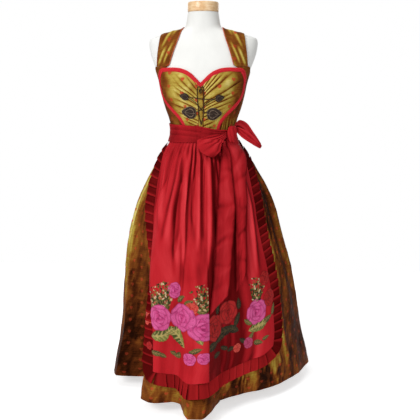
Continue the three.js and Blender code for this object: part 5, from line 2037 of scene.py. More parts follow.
    def _ruffle(self, name: str, node: str, start: float, end: float, tones: list[float],
                route: Spline) -> None:
        """One stretch of the ruffle in knife pleats.

        Args:
            name: name of the piece.
            node: the CAD node that it stands for.
            start: share of the route where it starts.
            end: share of the route where it ends.
            tones: painted shade of its pleats' faces, and how much lighter their edges are with a painted
                highlight.
            route: its seam on the flat cloth.
        """
        pleats = round((end - start) * route.length / self.pitch)
        profile = np.array(self.pleat)
        advance = (np.arange(pleats)[:, None] + profile[:, 0]).ravel()
        height = np.tile(profile[:, 1], pleats)
        number = np.repeat(np.arange(pleats), len(profile))
        advance = np.clip(advance / pleats, 0.001, 0.999)
        v = np.linspace(0, 1, 9)[:, None]
        uneven = 1 + 0.22 * value_noise(number + 0.5, 0 * number, 71)
        share = lerp(start, end, advance)[None]
        fan = 20 / route.length
        at = route.at(share)
        ahead = route.at(np.clip(share + fan, 0, 1)) - route.at(np.clip(share - fan, 0, 1))
        along = unit(ahead)
        over = 1.0 + self.ruffle_width * v * (1.07 + 0.05 * value_noise(number + 0.5, 0 * number, 73))
        z = at[..., 1] - along[..., 0] * over
        angle = self.shape.map.angle(at[..., 0] + along[..., 1] * over, z)
        open_up = lerp(0.30, 1.2, smoothstep(v, 0, 1)) * uneven
        out = self.shape.base(angle, z) + 1.0 + self.depth * height * open_up
        points = on_surface(self.shape.skirt.body, angle, z, out)
        face, edge = tones
        # painted shade in the pleats' hollows and on their faces, and a painted highlight along their folded
        # edges
        tone = lerp(-0.15, face, smoothstep(height, 0.3, 0.6)) + edge * smoothstep(height, 0.94, 1.0) + 0 * v
        tone = tone + 0.12 * value_noise(number + 0.5, 0 * number, 75)
        # painted shade over the top of the right-hand stretch
        tone = np.clip(tone - 0.5 * smoothstep(z, 810, 860) * (angle > 0), 0, 1)
        flat = stacked(advance * pleats * self.pitch, over)
        Sheet(name, points, flat, tone, thickness=0.45).sew(self.ruffle_satin_in_shade, "apron_satin", node)


class Flower(Enum):
    """Colourings of the border's flowers: foot, middle, rim and outline of a petal."""

    PINK = ((0.26, 0.016, 0.085), (0.54, 0.045, 0.190), (0.70, 0.120, 0.330), (0.32, 0.020, 0.105))
    SHADED = ((0.20, 0.012, 0.045), (0.38, 0.030, 0.095), (0.50, 0.070, 0.170), (0.22, 0.014, 0.050))
    # RED is partly the thread's own red and partly painted shade: the two red roses right of the sharp fold
    # stand for roses in shade
    RED = ((0.110, 0.002, 0.002), (0.330, 0.006, 0.007), (0.460, 0.016, 0.014), (0.090, 0.002, 0.002))
    CORAL = ((0.30, 0.010, 0.010), (0.52, 0.030, 0.024), (0.64, 0.090, 0.060), (0.34, 0.012, 0.010))


class Leaf(Enum):
    """Colourings of the border's leaves: field in the shade, field in the light, and veins."""

    BRIGHT = ((0.018, 0.040, 0.008), (0.150, 0.190, 0.035), (0.480, 0.400, 0.130))
    PLAIN = ((0.018, 0.022, 0.006), (0.085, 0.085, 0.018), (0.260, 0.190, 0.060))
    # the colouring of the leaves right of the sharp fold, darkened by painted shade
    DARK = ((0.006, 0.006, 0.003), (0.018, 0.018, 0.006), (0.075, 0.050, 0.018))


@dataclass
class RoseBorder:
    """Woven roses, leaves and bushes of grain along the lower part of the apron."""

    apron: ApronShape
    lift: float = 0.35
    fold: float = 6.45
    # colouring, angle, height, half width, half height and turn of each rose, in the order that they overlap
    roses: tuple = (
        (Flower.CORAL, -28.5, 330, 20, 26, 20),
        (Flower.CORAL, -1.5, 378, 22, 19, 0),
        (Flower.RED, 10.5, 306, 44, 46, 35),
        (Flower.RED, 21.5, 347, 40, 42, 50),
        (Flower.PINK, -14.0, 433, 26, 27, 10),
        (Flower.PINK, -20.8, 338, 36, 45, 0),
        (Flower.PINK, 4.4, 316, 48, 45, 70),
        (Flower.PINK, -6.6, 342, 55, 47, 40),
        (Flower.PINK, 45.8, 330, 40, 45, 25),
        (Flower.RED, 57.5, 371, 27, 30, 5),
        (Flower.RED, 55.5, 443, 23, 25, 30),
        (Flower.PINK, -1.8, 210, 21, 20, 0),
        (Flower.PINK, 4.6, 214, 19, 19, 50),
        (Flower.SHADED, 37.5, 224, 18, 20, 20),
        (Flower.CORAL, 28.0, 214, 16, 16, 0),
        (Flower.RED, -25.5, 236, 12, 14, 0),
    )
    # colouring, angle, height, length, width and turn of each leaf
    leaves: tuple = (
        (Leaf.BRIGHT, -20.5, 276, 58, 38, 190), (Leaf.BRIGHT, -16.5, 290, 44, 26, 215),
        (Leaf.BRIGHT, -8.2, 268, 88, 42, -36), (Leaf.BRIGHT, -12.8, 292, 50, 30, 200),
        (Leaf.BRIGHT, 2.8, 276, 40, 22, -60), (Leaf.PLAIN, -3.0, 392, 42, 22, 40),
        (Leaf.PLAIN, 2.5, 372, 36, 18, 150), (Leaf.PLAIN, -8.5, 405, 44, 18, 25),
        (Leaf.PLAIN, -25.0, 372, 40, 18, 110), (Leaf.PLAIN, -22.5, 398, 44, 14, 65),
        (Leaf.DARK, 9.5, 248, 60, 26, 20), (Leaf.DARK, 14.0, 262, 50, 22, 200),
        (Leaf.DARK, 20.0, 284, 66, 30, 8), (Leaf.DARK, 26.0, 282, 50, 26, -20),
        (Leaf.DARK, 29.5, 318, 48, 20, 70), (Leaf.DARK, 13.5, 372, 44, 20, 80),
        (Leaf.DARK, 31.5, 372, 40, 18, 100), (Leaf.BRIGHT, 45.0, 278, 72, 38, 200),
        (Leaf.BRIGHT, 48.0, 278, 52, 26, 15), (Leaf.PLAIN, 54.0, 298, 44, 20, 30),
        (Leaf.PLAIN, 38.0, 300, 36, 18, 150), (Leaf.PLAIN, 60.0, 330, 40, 16, 80),
        (Leaf.PLAIN, -22.0, 217, 34, 18, 170), (Leaf.PLAIN, -18.0, 207, 26, 14, -30),
        (Leaf.PLAIN, -9.5, 208, 40, 20, 190), (Leaf.PLAIN, -13.5, 217, 26, 14, 150),
        (Leaf.PLAIN, 1.6, 240, 40, 16, 20), (Leaf.PLAIN, 45.5, 219, 36, 18, -10),
        (Leaf.DARK, 33.0, 236, 36, 16, 150), (Leaf.DARK, 22.0, 214, 32, 15, 190),
        (Leaf.DARK, 12.0, 212, 38, 18, 10), (Leaf.PLAIN, 40.5, 250, 34, 14, 60),
        (Leaf.PLAIN, 51.5, 232, 30, 13, 20), (Leaf.DARK, 17.0, 226, 34, 14, 160),
    )
    # angle, height, width and height of each bush of grain
    bushes: tuple = (
        (-18.5, 366, 48, 112), (4.0, 362, 50, 104), (46.0, 366, 52, 98),
        (14.0, 376, 36, 66), (-24.5, 372, 24, 66),
    )
    # colours of the bushes' grains, buds and small leaves
    tints: tuple = (
        (0.60, 0.42, 0.20), (0.030, 0.040, 0.010), (0.22, 0.21, 0.040), (0.68, 0.50, 0.30),
        (0.045, 0.060, 0.012), (0.52, 0.10, 0.06), (0.14, 0.17, 0.030), (0.015, 0.012, 0.004),
    )

    def __post_init__(self) -> None:
        """Starts the lists that the motifs are gathered in."""
        self.vertices: list[Array] = []
        self.faces: list[Array] = []
        self.flats: list[Array] = []
        self.colours: list[Array] = []
        self.count = 0

    def build(self) -> None:
        """Builds every motif into one mesh."""
        for k, bush in enumerate(self.bushes):
            self._bush(*bush, seed=k)
        for leaf in self.leaves:
            self._leaf(*leaf)
        for k, rose in enumerate(self.roses):
            self._rose(*rose, seed=k)
        mesh = new_mesh("rose_border", np.concatenate(self.vertices), np.concatenate(self.faces).tolist())
        lay_flat(mesh, np.concatenate(self.flats))
        colours = np.concatenate(self.colours)
        colours = np.concatenate((colours, np.ones((len(colours), 1))), 1).astype(np.float32)
        mesh.attributes.new("flower", "FLOAT_COLOR", "POINT").data.foreach_set("color", colours.ravel())
        attach(new_object("rose_border", mesh, FlowerThread().build()), "apron_satin")

    def _add(self, centre: Pair, x: Array, y: Array, lift: Array | float, colour: Array) -> None:
        """Adds a grid of points that lies on the apron, kept to its own side of the sharp fold.

        Args:
            centre: angle and height that x and y are measured from.
            x: millimetres across the cloth.
            y: millimetres up the cloth.
            lift: height over the cloth.
            colour: colour of each point.
        """
        angle0, z0 = centre
        z = z0 + y
        angle = self.apron.map.angle(self.apron.map.distance(angle0, z0) + x, z)
        angle = np.minimum(angle, self.fold) if angle0 < self.fold else np.maximum(angle, self.fold + 0.5)
        points = self.apron.point(angle, z, self.lift + lift)
        rows, columns = x.shape
        index = np.arange(rows * columns).reshape(rows, columns) + self.count
        self.vertices.append(points.reshape(-1, 3))
        self.faces.append(grid_faces(index))
        self.flats.append(np.stack((x + 7 * angle0, z), -1).reshape(-1, 2))
        self.colours.append(np.broadcast_to(colour, (rows, columns, 3)).reshape(-1, 3))
        self.count += rows * columns

    def _petal(self, centre: Pair, middle: Pair, reach: float, wide: float,
               turn: float, aspect: float, lift: float, flower: Flower) -> None:
        """One petal, darker at its foot and pale towards its rim.

        Args:
            centre: angle and height of the rose.
            middle: place of the petal's middle from the rose's centre.
            reach: half length of the petal, away from the rose's centre.
            wide: its half width.
            turn: direction of its tip, in radians.
            aspect: the rose's width over its height.
            lift: height over the cloth.
            flower: its colouring.
        """
        foot, body, rim, outline = (np.array(c) for c in flower.value)
        share = np.array((0.02, 0.35, 0.62, 0.8, 0.92, 1.0))[:, None]
        t = np.linspace(0, 2 * np.pi, 21)[None]
        wavy = 1 + 0.05 * np.cos(5 * t + turn) + 0.04 * np.cos(2 * t)
        a, b = reach * share * np.cos(t) * wavy, wide * share * np.sin(t) * wavy
        x, y = turned_by(a, b, turn)
        x, y = aspect * (middle[0] + x), middle[1] + y
        shade = smoothstep((np.cos(t) * share)[..., None], -0.95, 0.8)
        colour = lerp(lerp(foot, body, smoothstep(shade, 0, 0.4)), rim, 0.8 * smoothstep(shade, 0.45, 1))
        colour = lerp(colour, outline, 0.75 * smoothstep(share, 0.86, 0.95)[..., None])
        self._add(centre, x, y, lift, colour)

    def _rose(self, flower: Flower, angle: float, z: float, wide: float, radius: float, turn: float,
              seed: int) -> None:
        """A full rose from rings of broad overlapping petals.

        Args:
            flower: its colouring.
            angle: angle of its middle.
            z: height of its middle.
            wide: its half width.
            radius: its half height.
            turn: turn of its petals, in degrees.
            seed: picks the unevenness of its petals.
        """
        lift = 0.1 + 0.35 * (seed % 4)
        # petals in the ring, distance, half length and half width as shares of the radius
        rings = ((5, 0.56, 0.44, 0.62), (4, 0.34, 0.36, 0.50), (3, 0.17, 0.25, 0.33), (1, 0, 0.13, 0.13))
        for petals, far, reach, broad in rings:
            for k in range(petals):
                wobble = float(value_noise(np.array(k + 0.5), np.array(petals + 0.5), seed))
                way = math.radians(turn + petals * 17) + math.tau * k / petals + 0.2 * wobble
                size = 1 + 0.1 * wobble
                middle = (radius * far * math.cos(way), radius * far * math.sin(way))
                self._petal((angle, z), middle, radius * reach * size, radius * broad * size, way,
                            wide / radius, lift, flower)
                lift += 0.05

    def _leaf(self, kind: Leaf, angle: float, z: float, length: float, width: float, turn: float) -> None:
        """A broad toothed leaf with pale veins.

        Args:
            kind: its colouring.
            angle: angle of its middle.
            z: height of its middle.
            length: its length.
            width: its width.
            turn: direction of its tip, in degrees.
        """
        s = np.linspace(0, 1, 25)[None]
        w = np.linspace(-1, 1, 9)[:, None]
        half = width / 2 * np.sin(np.pi * s**0.8) ** 0.65 * (1 + 0.2 * ((s * 6) % 1))
        a, b = length * (s - 0.5) - 3.0 * np.abs(w), half * w
        x, y = turned_by(a, b, math.radians(turn))
        dark, green, pale = (np.array(c) for c in kind.value)
        vein = np.maximum(np.exp(-((w / 0.14) ** 2)), 0.85 * (((s * 5 + 0.9 * np.abs(w)) % 1) < 0.36))
        side = np.where(w > 0, 1.0, 0.3) + 0 * s
        shown = vein * smoothstep(1 - np.abs(w), 0.05, 0.3)
        colour = lerp(lerp(dark, green, side[..., None]), pale, shown[..., None])
        self._add((angle, z), x, y, 0.05 + 0.2 * (1 - w * w), colour)

    def _bush(self, angle: float, z: float, wide: float, tall: float, seed: int) -> None:
        """A fan of curved stems with pale grains, and dark blades between them.

        Args:
            angle: angle of its foot.
            z: height of its foot.
            wide: its width.
            tall: its height.
            seed: picks its unevenness.
        """
        stems = max(4, round(wide / 7))
        for k in range(stems):
            across = 2 * k / (stems - 1) - 1
            wobble = float(value_noise(np.array(k + 0.5), np.array(seed + 0.5), 7))
            length = tall * (0.78 + 0.22 * wobble) * (1 - 0.28 * across * across)
            self._blade((angle, z), across * wide * 0.22, length * 0.8, across * wide * 0.34 + 3 * wobble)
            self._stem((angle, z), across * wide * 0.16, length, across * wide * 0.42 + 5 * wobble, k + seed)

    def _blade(self, centre: Pair, foot: float, length: float, lean: float) -> None:
        """A dark narrow blade of grass.

        Args:
            centre: angle and height of the bush's foot.
            foot: distance of its own foot across.
            length: its height.
            lean: how far its tip leans across.
        """
        s = np.linspace(0, 1, 9)[None]
        w = np.linspace(-1, 1, 3)[:, None]
        x = foot + lean * s**1.5 + w * 2.8 * np.sin(np.pi * s**0.7)
        dark, green = np.array((0.010, 0.014, 0.004)), np.array((0.050, 0.075, 0.014))
        colour = lerp(dark, green, smoothstep(w, -0.5, 1)[..., None])
        self._add(centre, x, length * s + 0 * w, 0.05, colour + 0 * s[..., None])

    def _stem(self, centre: Pair, foot: float, length: float, lean: float, seed: int) -> None:
        """A stem with grains up both sides and a bud at its tip.

        Args:
            centre: angle and height of the bush's foot.
            foot: distance of its own foot across.
            length: its height.
            lean: how far its tip leans across.
            seed: picks its colours.
        """
        s = np.linspace(0, 1, 12)[None]
        w = np.linspace(-1, 1, 2)[:, None]
        straw = np.array((0.17, 0.13, 0.03))
        self._add(centre, foot + lean * s**1.5 + 0.9 * w, length * s + 0 * w, 0.15, straw)
        grains = max(3, round(length / 13))
        for k in range(grains):
            t = 0.2 + 0.8 * (k + 0.45 * math.sin(5.3 * seed + 2.1 * k)) / (grains - 1)
            t = max(t, 0.05)
            x, y = foot + lean * t**1.5, length * t
            way = math.pi / 2 - 1.5 * lean * t**0.5 / length + 0.3 * math.sin(3.7 * seed + k)
            for side in (-1, 1):
                self._grain(centre, x, y, way + 0.7 * side, 11.5 - 3.5 * t, 3 * k + side + seed)

    def _grain(self, centre: Pair, x0: float, y0: float, way: float, size: float, seed: int) -> None:
        """One grain, bud or small leaf of a stem.

        Args:
            centre: angle and height of the bush's foot.
            x0: place of the grain's foot across.
            y0: place of the grain's foot up.
            way: its direction, in radians.
            size: its length.
            seed: picks its colour.
        """
        s = np.linspace(0, 1, 6)[None]
        w = np.linspace(-1, 1, 3)[:, None]
        a, b = size * s, 0.27 * size * np.sin(np.pi * s) * w
        x, y = turned_by(a, b, way)
        tint = np.array(self.tints[seed % len(self.tints)])
        light = (1 - np.abs(w) * 0.6)[..., None] + 0 * s[..., None]
        self._add(centre, x0 + x, y0 + y, 0.3, lerp(tint * 0.6, tint, light))


# ---- the sash and its bow -------------------------------------------------------------------


@dataclass
class SashAndBow:
    """The sash round the waist, its knot, two loops and two tails."""

    layer: BowLayer
    satin: Material
    # angle, upper edge and lower edge
    edges: tuple = (
        (-180, 982, 930), (-90, 991, 924), (-10, 987, 927), (40, 973, 930), (62, 972, 938), (100, 978, 932),
    )
    knot_place: Pair = (60.0, 955.0)
    knot_size: Triple = (22.0, 15.0, 29.0)
    # across and up from the knot's middle
    right_start: Pair = (27.5, 17.0)
    # length, spread, yaw and fall
    right_loop: tuple[float, float, float, float] = (114.0, 15.0, 8.0, 34.5)
    # share round the loop, its lower and upper edge, and how far the upper edge leads
    right_edges: tuple = (
        (0, -7, 5, 0), (0.1, -13, 9, 0), (0.2, -19, 12.5, 0), (0.316, -17, 8, 0), (0.42, -13, 2, 0),
        (0.5, -8, 2, 0), (0.6, -7, 13, 0), (0.72, -7, 30, 0), (0.85, -7, 46, -4), (0.93, -6, 39, -11),
        (1, -5, 12, -14),
    )
    left_start: Pair = (47.0, 953.0)
    left_end: Pair = (0.5, 892.0)
    # spread, lift, half width at the root and at the end
    left_loop: tuple[float, float, float, float] = (8.0, 3.4, 12.0, 41.0)
    # fan, drop and roundness
    left_bend: Triple = (-0.3, 0.2, 0.12)
    # height, left edge and right edge of each tail
    left_tail: tuple = (
        (384, 8.5, 22.5), (500, 12, 26.5), (600, 14.4, 30.8), (680, 16.2, 35), (769, 20.7, 40.5),
        (850, 27, 46), (900, 36, 51.5), (933, 45, 56),
    )
    right_tail: tuple = (
        (440, 29, 38), (519, 31, 41), (600, 33, 43.5), (671, 35.3, 46.5), (765, 38, 53), (800, 39.5, 57),
        (850, 42, 66), (900, 46, 74), (938, 49, 80),
    )
    # height, slant and half height of each cross fold, and how much lighter it is: a painted highlight above
    # 0, a painted shade below 0
    left_marks: tuple = (
        (885, -50, 22, -0.60), (833, -20, 7, -0.30), (800, 12, 8, -0.20), (740, 10, 14, 0.12),
        (712, 18, 7, -0.36), (684, 26, 13, 0.22), (650, -34, 14, 0.16), (618, 6, 9, 0.22),
        (595, 12, 8, -0.38), (545, 14, 14, -0.14), (511, -8, 5, -0.24), (488, 4, 10, 0.24),
        (452, 12, 8, -0.22), (420, -10, 12, 0.12),
    )
    right_marks: tuple = (
        (905, 40, 12, 0.24), (868, 52, 8, -0.26), (838, 56, 14, 0.18), (796, 46, 8, -0.30),
        (750, 30, 14, 0.14), (706, -16, 7, -0.18), (650, 20, 12, 0.16), (612, 14, 7, -0.28),
        (560, 16, 12, 0.14), (520, -14, 7, -0.20),
    )

    def __post_init__(self) -> None:
        """Places the knot."""
        size = self.knot_size
        centre = on_surface(self.layer.sash_radius, *self.knot_place, CLOTH + size[1])
        turn = math.radians(self.knot_place[0])
        self.knot_centre = centre
        self.knot_across = np.array((math.cos(turn), math.sin(turn), 0))
        self.knot_out = np.array((math.sin(turn), -math.cos(turn), 0))

    def build(self) -> None:
        """Builds the sash, the knot, the loops and the tails."""
        self._sash()
        self._knot()
        self._right_loop()
        self._left_loop()
        self._tail("tail_left", "bow_tail_left", self.left_tail, self.left_marks, 0.52, 0.0, 81)
        self._tail("tail_right", "bow_tail_right", self.right_tail, self.right_marks, 0.30, 4.6, 87)

    def _sash(self) -> None:
        """The sash, with soft creases that run together at the knot."""
        top, bottom = (Curve(self.edges, k, 360) for k in (1, 2))
        angle = np.linspace(0, 360, 264, endpoint=False)[None]
        v = np.linspace(0, 1, 36)[:, None]
        z = lerp(bottom(wrapped(angle)), top(wrapped(angle)), v)
        drift = 0.10 * np.sin(np.radians(2 * angle)) + 0.05 * value_noise(angle / 25, 0 * angle, 91)
        rib = np.abs(np.sin(np.pi * (3.3 * (v + drift)))) ** 0.7
        near = np.exp(-((wrapped(angle - self.knot_place[0]) / 30) ** 2))
        tight = np.abs(np.sin(np.pi * 6.0 * (v + 0.5 * drift))) ** 0.7
        edge = smoothstep(np.minimum(v, 1 - v), 0, 0.08)
        soft = 0.55 + 0.45 * value_noise(angle / 22, v * 2, 93)
        rise = (1.5 * rib * soft * (1 - near) + 1.6 * tight * near) * edge
        rise = rise + 0.5 * crumple(angle / 12, v * 3, 95) * edge
        points = on_surface(self.layer.sash_radius, angle, z, CLOTH + rise)
        body = on_surface(self.layer.sash_radius, angle, z, CLOTH)
        tone = relief_tone(points, body, 0.28 + 0.06 * value_noise(angle / 30, v * 2, 97), 0.8)
        sash = Sheet("waist_sash", points, stacked(angle * 2.1, z), tone, thickness=1.0, wrap=True)
        sash.sew(self.satin, "apron_satin", "sash")

    def _knot(self) -> None:
        """The knot, a soft lump with folds wrapped over it."""
        half, depth, tall = self.knot_size
        tilt = np.linspace(0.03, np.pi - 0.03, 60)[:, None]
        turn = np.linspace(0, 2 * np.pi, 72, endpoint=False)[None]
        fold = 0.13 * np.abs(np.sin(3.5 * turn + 1.1 * np.cos(tilt))) ** 0.7
        wrinkle = 0.92 + fold + 0.04 * np.sin(3 * turn + 2 * tilt)
        across = half * np.sin(tilt) ** 0.45 * np.cos(turn) * wrinkle
        out = np.maximum(depth * np.sin(tilt) ** 0.45 * np.sin(turn) * wrinkle, -depth * 0.88)
        up = -tall * np.cos(tilt) + 2.5 * np.cos(turn) * np.sin(tilt)
        points = self.knot_centre + across[..., None] * self.knot_across + out[..., None] * self.knot_out
        points = points + up[..., None] * np.array((0, 0, 1.0))
        # a painted highlight on the folds wrapped over the knot
        tone = 0.46 + 1.6 * (fold - 0.05) + 0 * tilt
        flat = stacked(turn * 17, up)
        knot = Sheet("bow_knot_wrap", points, flat, np.clip(tone, 0, 1), wrap=True, outward=False)
        knot.sew(self.satin, "apron_satin", "bow_knot")

    def _course(self, share: Array, spread: float) -> tuple[Array, Array]:
        """How far along a loop and how far off its middle a share of its length lies."""
        turn = 2 * np.pi * share
        return 0.5 - 0.5 * np.cos(turn), spread * np.sin(turn) + 3 * np.cos(turn / 2)

    def _right_loop(self) -> None:
        """The loop that stands out to the side, its hind band over its front band."""
        length, spread, yaw, fall = self.right_loop
        yaw, fall = math.radians(yaw), math.radians(fall)
        start = self.knot_centre + self.right_start[0] * self.knot_across + (0, 0, self.right_start[1])
        along = np.array((math.cos(fall) * math.cos(yaw), math.cos(fall) * math.sin(yaw), -math.sin(fall)))
        out = unit(np.array((0.25, -0.93, 0.2)))
        across = np.cross(out, along)
        low, high, lean = (Curve(self.right_edges, k) for k in (1, 2, 3))
        v, u = shares(columns=42, rows=140)
        course, off = self._course(u, spread)
        front = smoothstep(0.5 - u, -0.03, 0.03)
        ribs = np.abs(np.sin(np.pi * (2.6 * v + 0.35 * np.sin(4 * u)))) ** 0.7
        fold = 3.0 * ribs * (1 - course) ** 0.6
        fold = fold + 2.2 * np.sin(np.pi * (1.5 * v + 0.3)) * course * (1 - course)
        soft = 1.2 * value_noise(v * 3, course * 4, 97) * smoothstep(course, 0.1, 0.5)
        depth = off + (fold + soft) * lerp(-1, 1, front)
        points = start + (length * course + lean(u) * v)[..., None] * along
        points = points + depth[..., None] * out + lerp(low(u), high(u), v)[..., None] * across
        # painted shadow inside the loop, on the hind band beside the front band's upper edge; painted
        # highlights on the ribs and along the front band's edge, and painted shade towards its far end
        hind = 0.58 * smoothstep(v, 0.50, 0.60) - 0.15 * smoothstep(0.5 - v, 0, 0.1)
        ridge = 0.34 * (ribs - 0.62) * (1 - course) ** 0.4
        tone = lerp(hind, 0.48 - 0.16 * smoothstep(course, 0.72, 1) + 0.2 * smoothstep(v, 0.8, 1), front)
        tone = tone + ridge + 0.1 * soft
        flat = stacked(60 * v + 2 * u, u * 240)
        loop = Sheet("loop_right", points, flat, np.clip(tone, 0, 1), thickness=0.7, outward=False)
        loop.sew(self.satin, "apron_satin", "bow_loop_right")

    def _left_loop(self) -> None:
        """The loop that hangs over the front, puffed out and folded towards the knot."""
        spread, lift, root, half = self.left_loop
        fan, drop, roundness = self.left_bend
        u = np.linspace(0, 1, 140)[:, None]
        side = np.linspace(-1, 1, 48)[None]
        course, off = self._course(u, spread)
        width = lerp(root, half, smoothstep(course, 0, 0.8))
        reach = course * (1 - roundness * side**2)
        angle = lerp(self.left_start[0], self.left_end[0], reach) + side * width * fan * course
        z = lerp(self.left_start[1], self.left_end[1], reach) + side * width * (0.9 - drop * course)
        ribs = np.abs(np.sin(np.pi * (1.9 * side + 0.25 + 0.35 * np.sin(3 * course)))) ** 0.65
        shown = smoothstep(off, -1, 2)
        fold = 4.2 * ribs * smoothstep(1.15 - course, 0, 0.7)
        soft = 1.3 * value_noise(side * 2 + 1, course * 4, 99) * smoothstep(course, 0.1, 0.5)
        points = on_surface(self.layer.radius, angle, z, spread + lift + off + (fold + soft + 0.8) * shown)
        # painted shade under the loop's lower side and on its turned-back layer, and painted highlights on
        # its ribs
        under = 0.34 * smoothstep(-side, 0.45, 1) * smoothstep(course, 0.3, 0.7)
        tone = lerp(0.15, 0.46, shown) + 0.5 * (ribs - 0.62) * smoothstep(1.1 - course, 0, 0.6)
        tone = tone + 0.12 * soft - under
        flat = stacked(side * 31 + 2 * u, u * 200)
        loop = Sheet("loop_left", points, flat, np.clip(tone, 0, 1), thickness=0.7, outward=False)
        loop.sew(self.satin, "apron_satin", "bow_loop_left")

    def _tail(self, name: str, node: str, rows: tuple, marks: tuple, shade: float, lift: float,
              seed: int) -> None:
        """One hanging end of the sash, cut on a slant.

        Args:
            name: name of the piece.
            node: the CAD node that it stands for.
            rows: heights with its left and right edge.
            marks: its cross folds, raised, with painted highlights and painted shade.
            shade: tone of its lower part, a painted shade where it is below 0.52.
            lift: how far its upper part lies over the other tail.
            seed: picks its wrinkles.
        """
        left, right = Curve(rows, 1), Curve(rows, 2)
        low, high, slant = rows[0][0], rows[-1][0], 26
        u, v = shares(columns=36, rows=160)
        level = lerp(low, high, v)
        z = level - slant * (1 - v) ** 6 * (0.5 - u) * 2
        angle = lerp(left(level), right(level), u)
        fold = 1.3 * np.sin(2.3 * np.pi * u + 1.2 + 2.4 * v) * smoothstep(1 - v, 0, 0.25)
        cross = 1.6 * crumple(u * 1.3 + 0.6 * v, v * 8, seed) * smoothstep(1 - v, 0, 0.15)
        mark = 0 * u
        for k, (place, slant_up, tall, change) in enumerate(marks):
            fade = smoothstep(u if k % 2 else 1 - u, -0.15, 0.85)
            off = (level + slant_up * (0.5 - u) + 5 * np.sin(5 * u + k) - place) / (1.3 * tall)
            mark = mark + 0.72 * change * fade * np.exp(-off * off)
        ribs = 1.0 * np.abs(np.sin(np.pi * (2.2 * u + 0.5 * np.sin(6 * v)))) * smoothstep(v, 0.72, 0.98)
        seat = 0.8 + lift * smoothstep(level, 640, 760)
        rise = np.maximum(fold, -1) + cross + ribs + 7 * np.clip(mark, -0.3, 0.3)
        points = on_surface(self.layer.radius, angle, z, seat + rise)
        body = on_surface(self.layer.radius, angle, z, seat + 0 * rise)
        # painted shade along both edges of the tail, with the cross folds' painted light and shade from mark
        clear_of_edge_shade = smoothstep(np.minimum(u, 1 - u), -0.02, 0.14)
        smooth = lerp(shade, 0.52, smoothstep(level, 640, 800))
        base = lerp(0.04, smooth + 0.08 * value_noise(u * 2, v * 9, seed) + 0.8 * mark, clear_of_edge_shade)
        tone = relief_tone(points, body, base, 0.7)
        flat = stacked(u * 55, level)
        Sheet(name, points, flat, tone, thickness=0.7).sew(self.satin, "apron_satin", node)


# ---- the cuts -------------------------------------------------------------------------------


@dataclass(frozen=True)
class Cut:
    """The flat cut of a piece, in metres and square metres, and what holds it in its shape."""

    name: str
    width: float
    length: float
    area: float
    held: str
    rests_on: str
    carries: tuple[str, ...] = ()

    def declare(self) -> None:
        """States the cut for its piece."""
        LOG.info("%s: cut %.3f by %.3f m", self.name, self.width, self.length)


@dataclass
class Cutting:
    """The cuts of every piece of cloth; the dress form is stuffed tight."""

    skirt_length: float = 0.99
    ruffle_height: float = 0.046

    def build(self) -> None:
        """States every cut."""
        for cut in (*self._bodice(), *self._skirt(), *self._apron(), *self._bow()):
            cut.declare()

    def _bodice(self) -> list[Cut]:
        """Cuts of the bodice."""
        cuts = [Cut("placket_strip", 0.026, 0.180, 0.0045, "laid", "torso")]
        for side in Side:
            leaves = tuple(f"leaf_{part}_{size}_{side.word}"
                           for part in ("field", "cords") for size in ("large", "small"))
            cuts += [
                Cut(f"heart_panel_{side.word}", 0.21, 0.24, 0.033, "gathered", "torso", leaves),
                Cut(f"side_panel_{side.word}", 0.15, 0.24, 0.031, "stretched", "torso"),
                Cut(f"back_panel_{side.word}", 0.19, 0.31, 0.046, "stretched", "torso"),
                Cut(f"shoulder_strap_{side.word}", 0.085, 0.27, 0.0205, "stretched", "torso",
                    (f"neck_piping_{side.word}",)),
                Cut(f"heart_tape_piece_{side.word}", 0.017, 0.52, 0.0088, "laid", f"heart_panel_{side.word}"),
            ]
        return cuts

    def _skirt(self) -> list[Cut]:
        """Cuts of the skirt's four widths, each wider at its hem."""
        rows = (("front", 1.12, 0.57), ("right", 0.56, 0.26), ("back", 0.38, 0.21), ("left", 0.53, 0.26))
        return [
            Cut(f"skirt_width_{name}", hem, self.skirt_length, (hem + waist) / 2 * self.skirt_length,
                "gathered", "torso")
            for name, hem, waist in rows
        ]

    def _apron(self) -> list[Cut]:
        """Cuts of the apron panel and its ruffle, each ruffle a straight strip laid in pleats."""
        cuts = [Cut("apron_panel", 0.54, 0.82, 0.43, "gathered", "skirt_width_front", ("rose_border",))]
        for name, length in (("left", 1.15), ("bottom", 0.75), ("right", 1.10)):
            cuts.append(Cut(f"pleated_ruffle_{name}", self.ruffle_height, length, self.ruffle_height * length,
                            "gathered", "apron_panel"))
        return cuts

    def _bow(self) -> list[Cut]:
        """Cuts of what shows of the sash, its knot, loops and tails."""
        return [
            Cut("waist_sash", 0.75, 0.056, 0.042, "stretched", "torso"),
            Cut("bow_knot_wrap", 0.125, 0.055, 0.0068, "folded", "waist_sash"),
            Cut("loop_right", 0.055, 0.25, 0.0095, "folded", "bow_knot_wrap"),
            Cut("loop_left", 0.080, 0.22, 0.0130, "folded", "waist_sash"),
            Cut("tail_left", 0.075, 0.60, 0.045, "hung", "bow_knot_wrap"),
            Cut("tail_right", 0.060, 0.53, 0.0318, "hung", "bow_knot_wrap"),
        ]


# ---- the studio -----------------------------------------------------------------------------


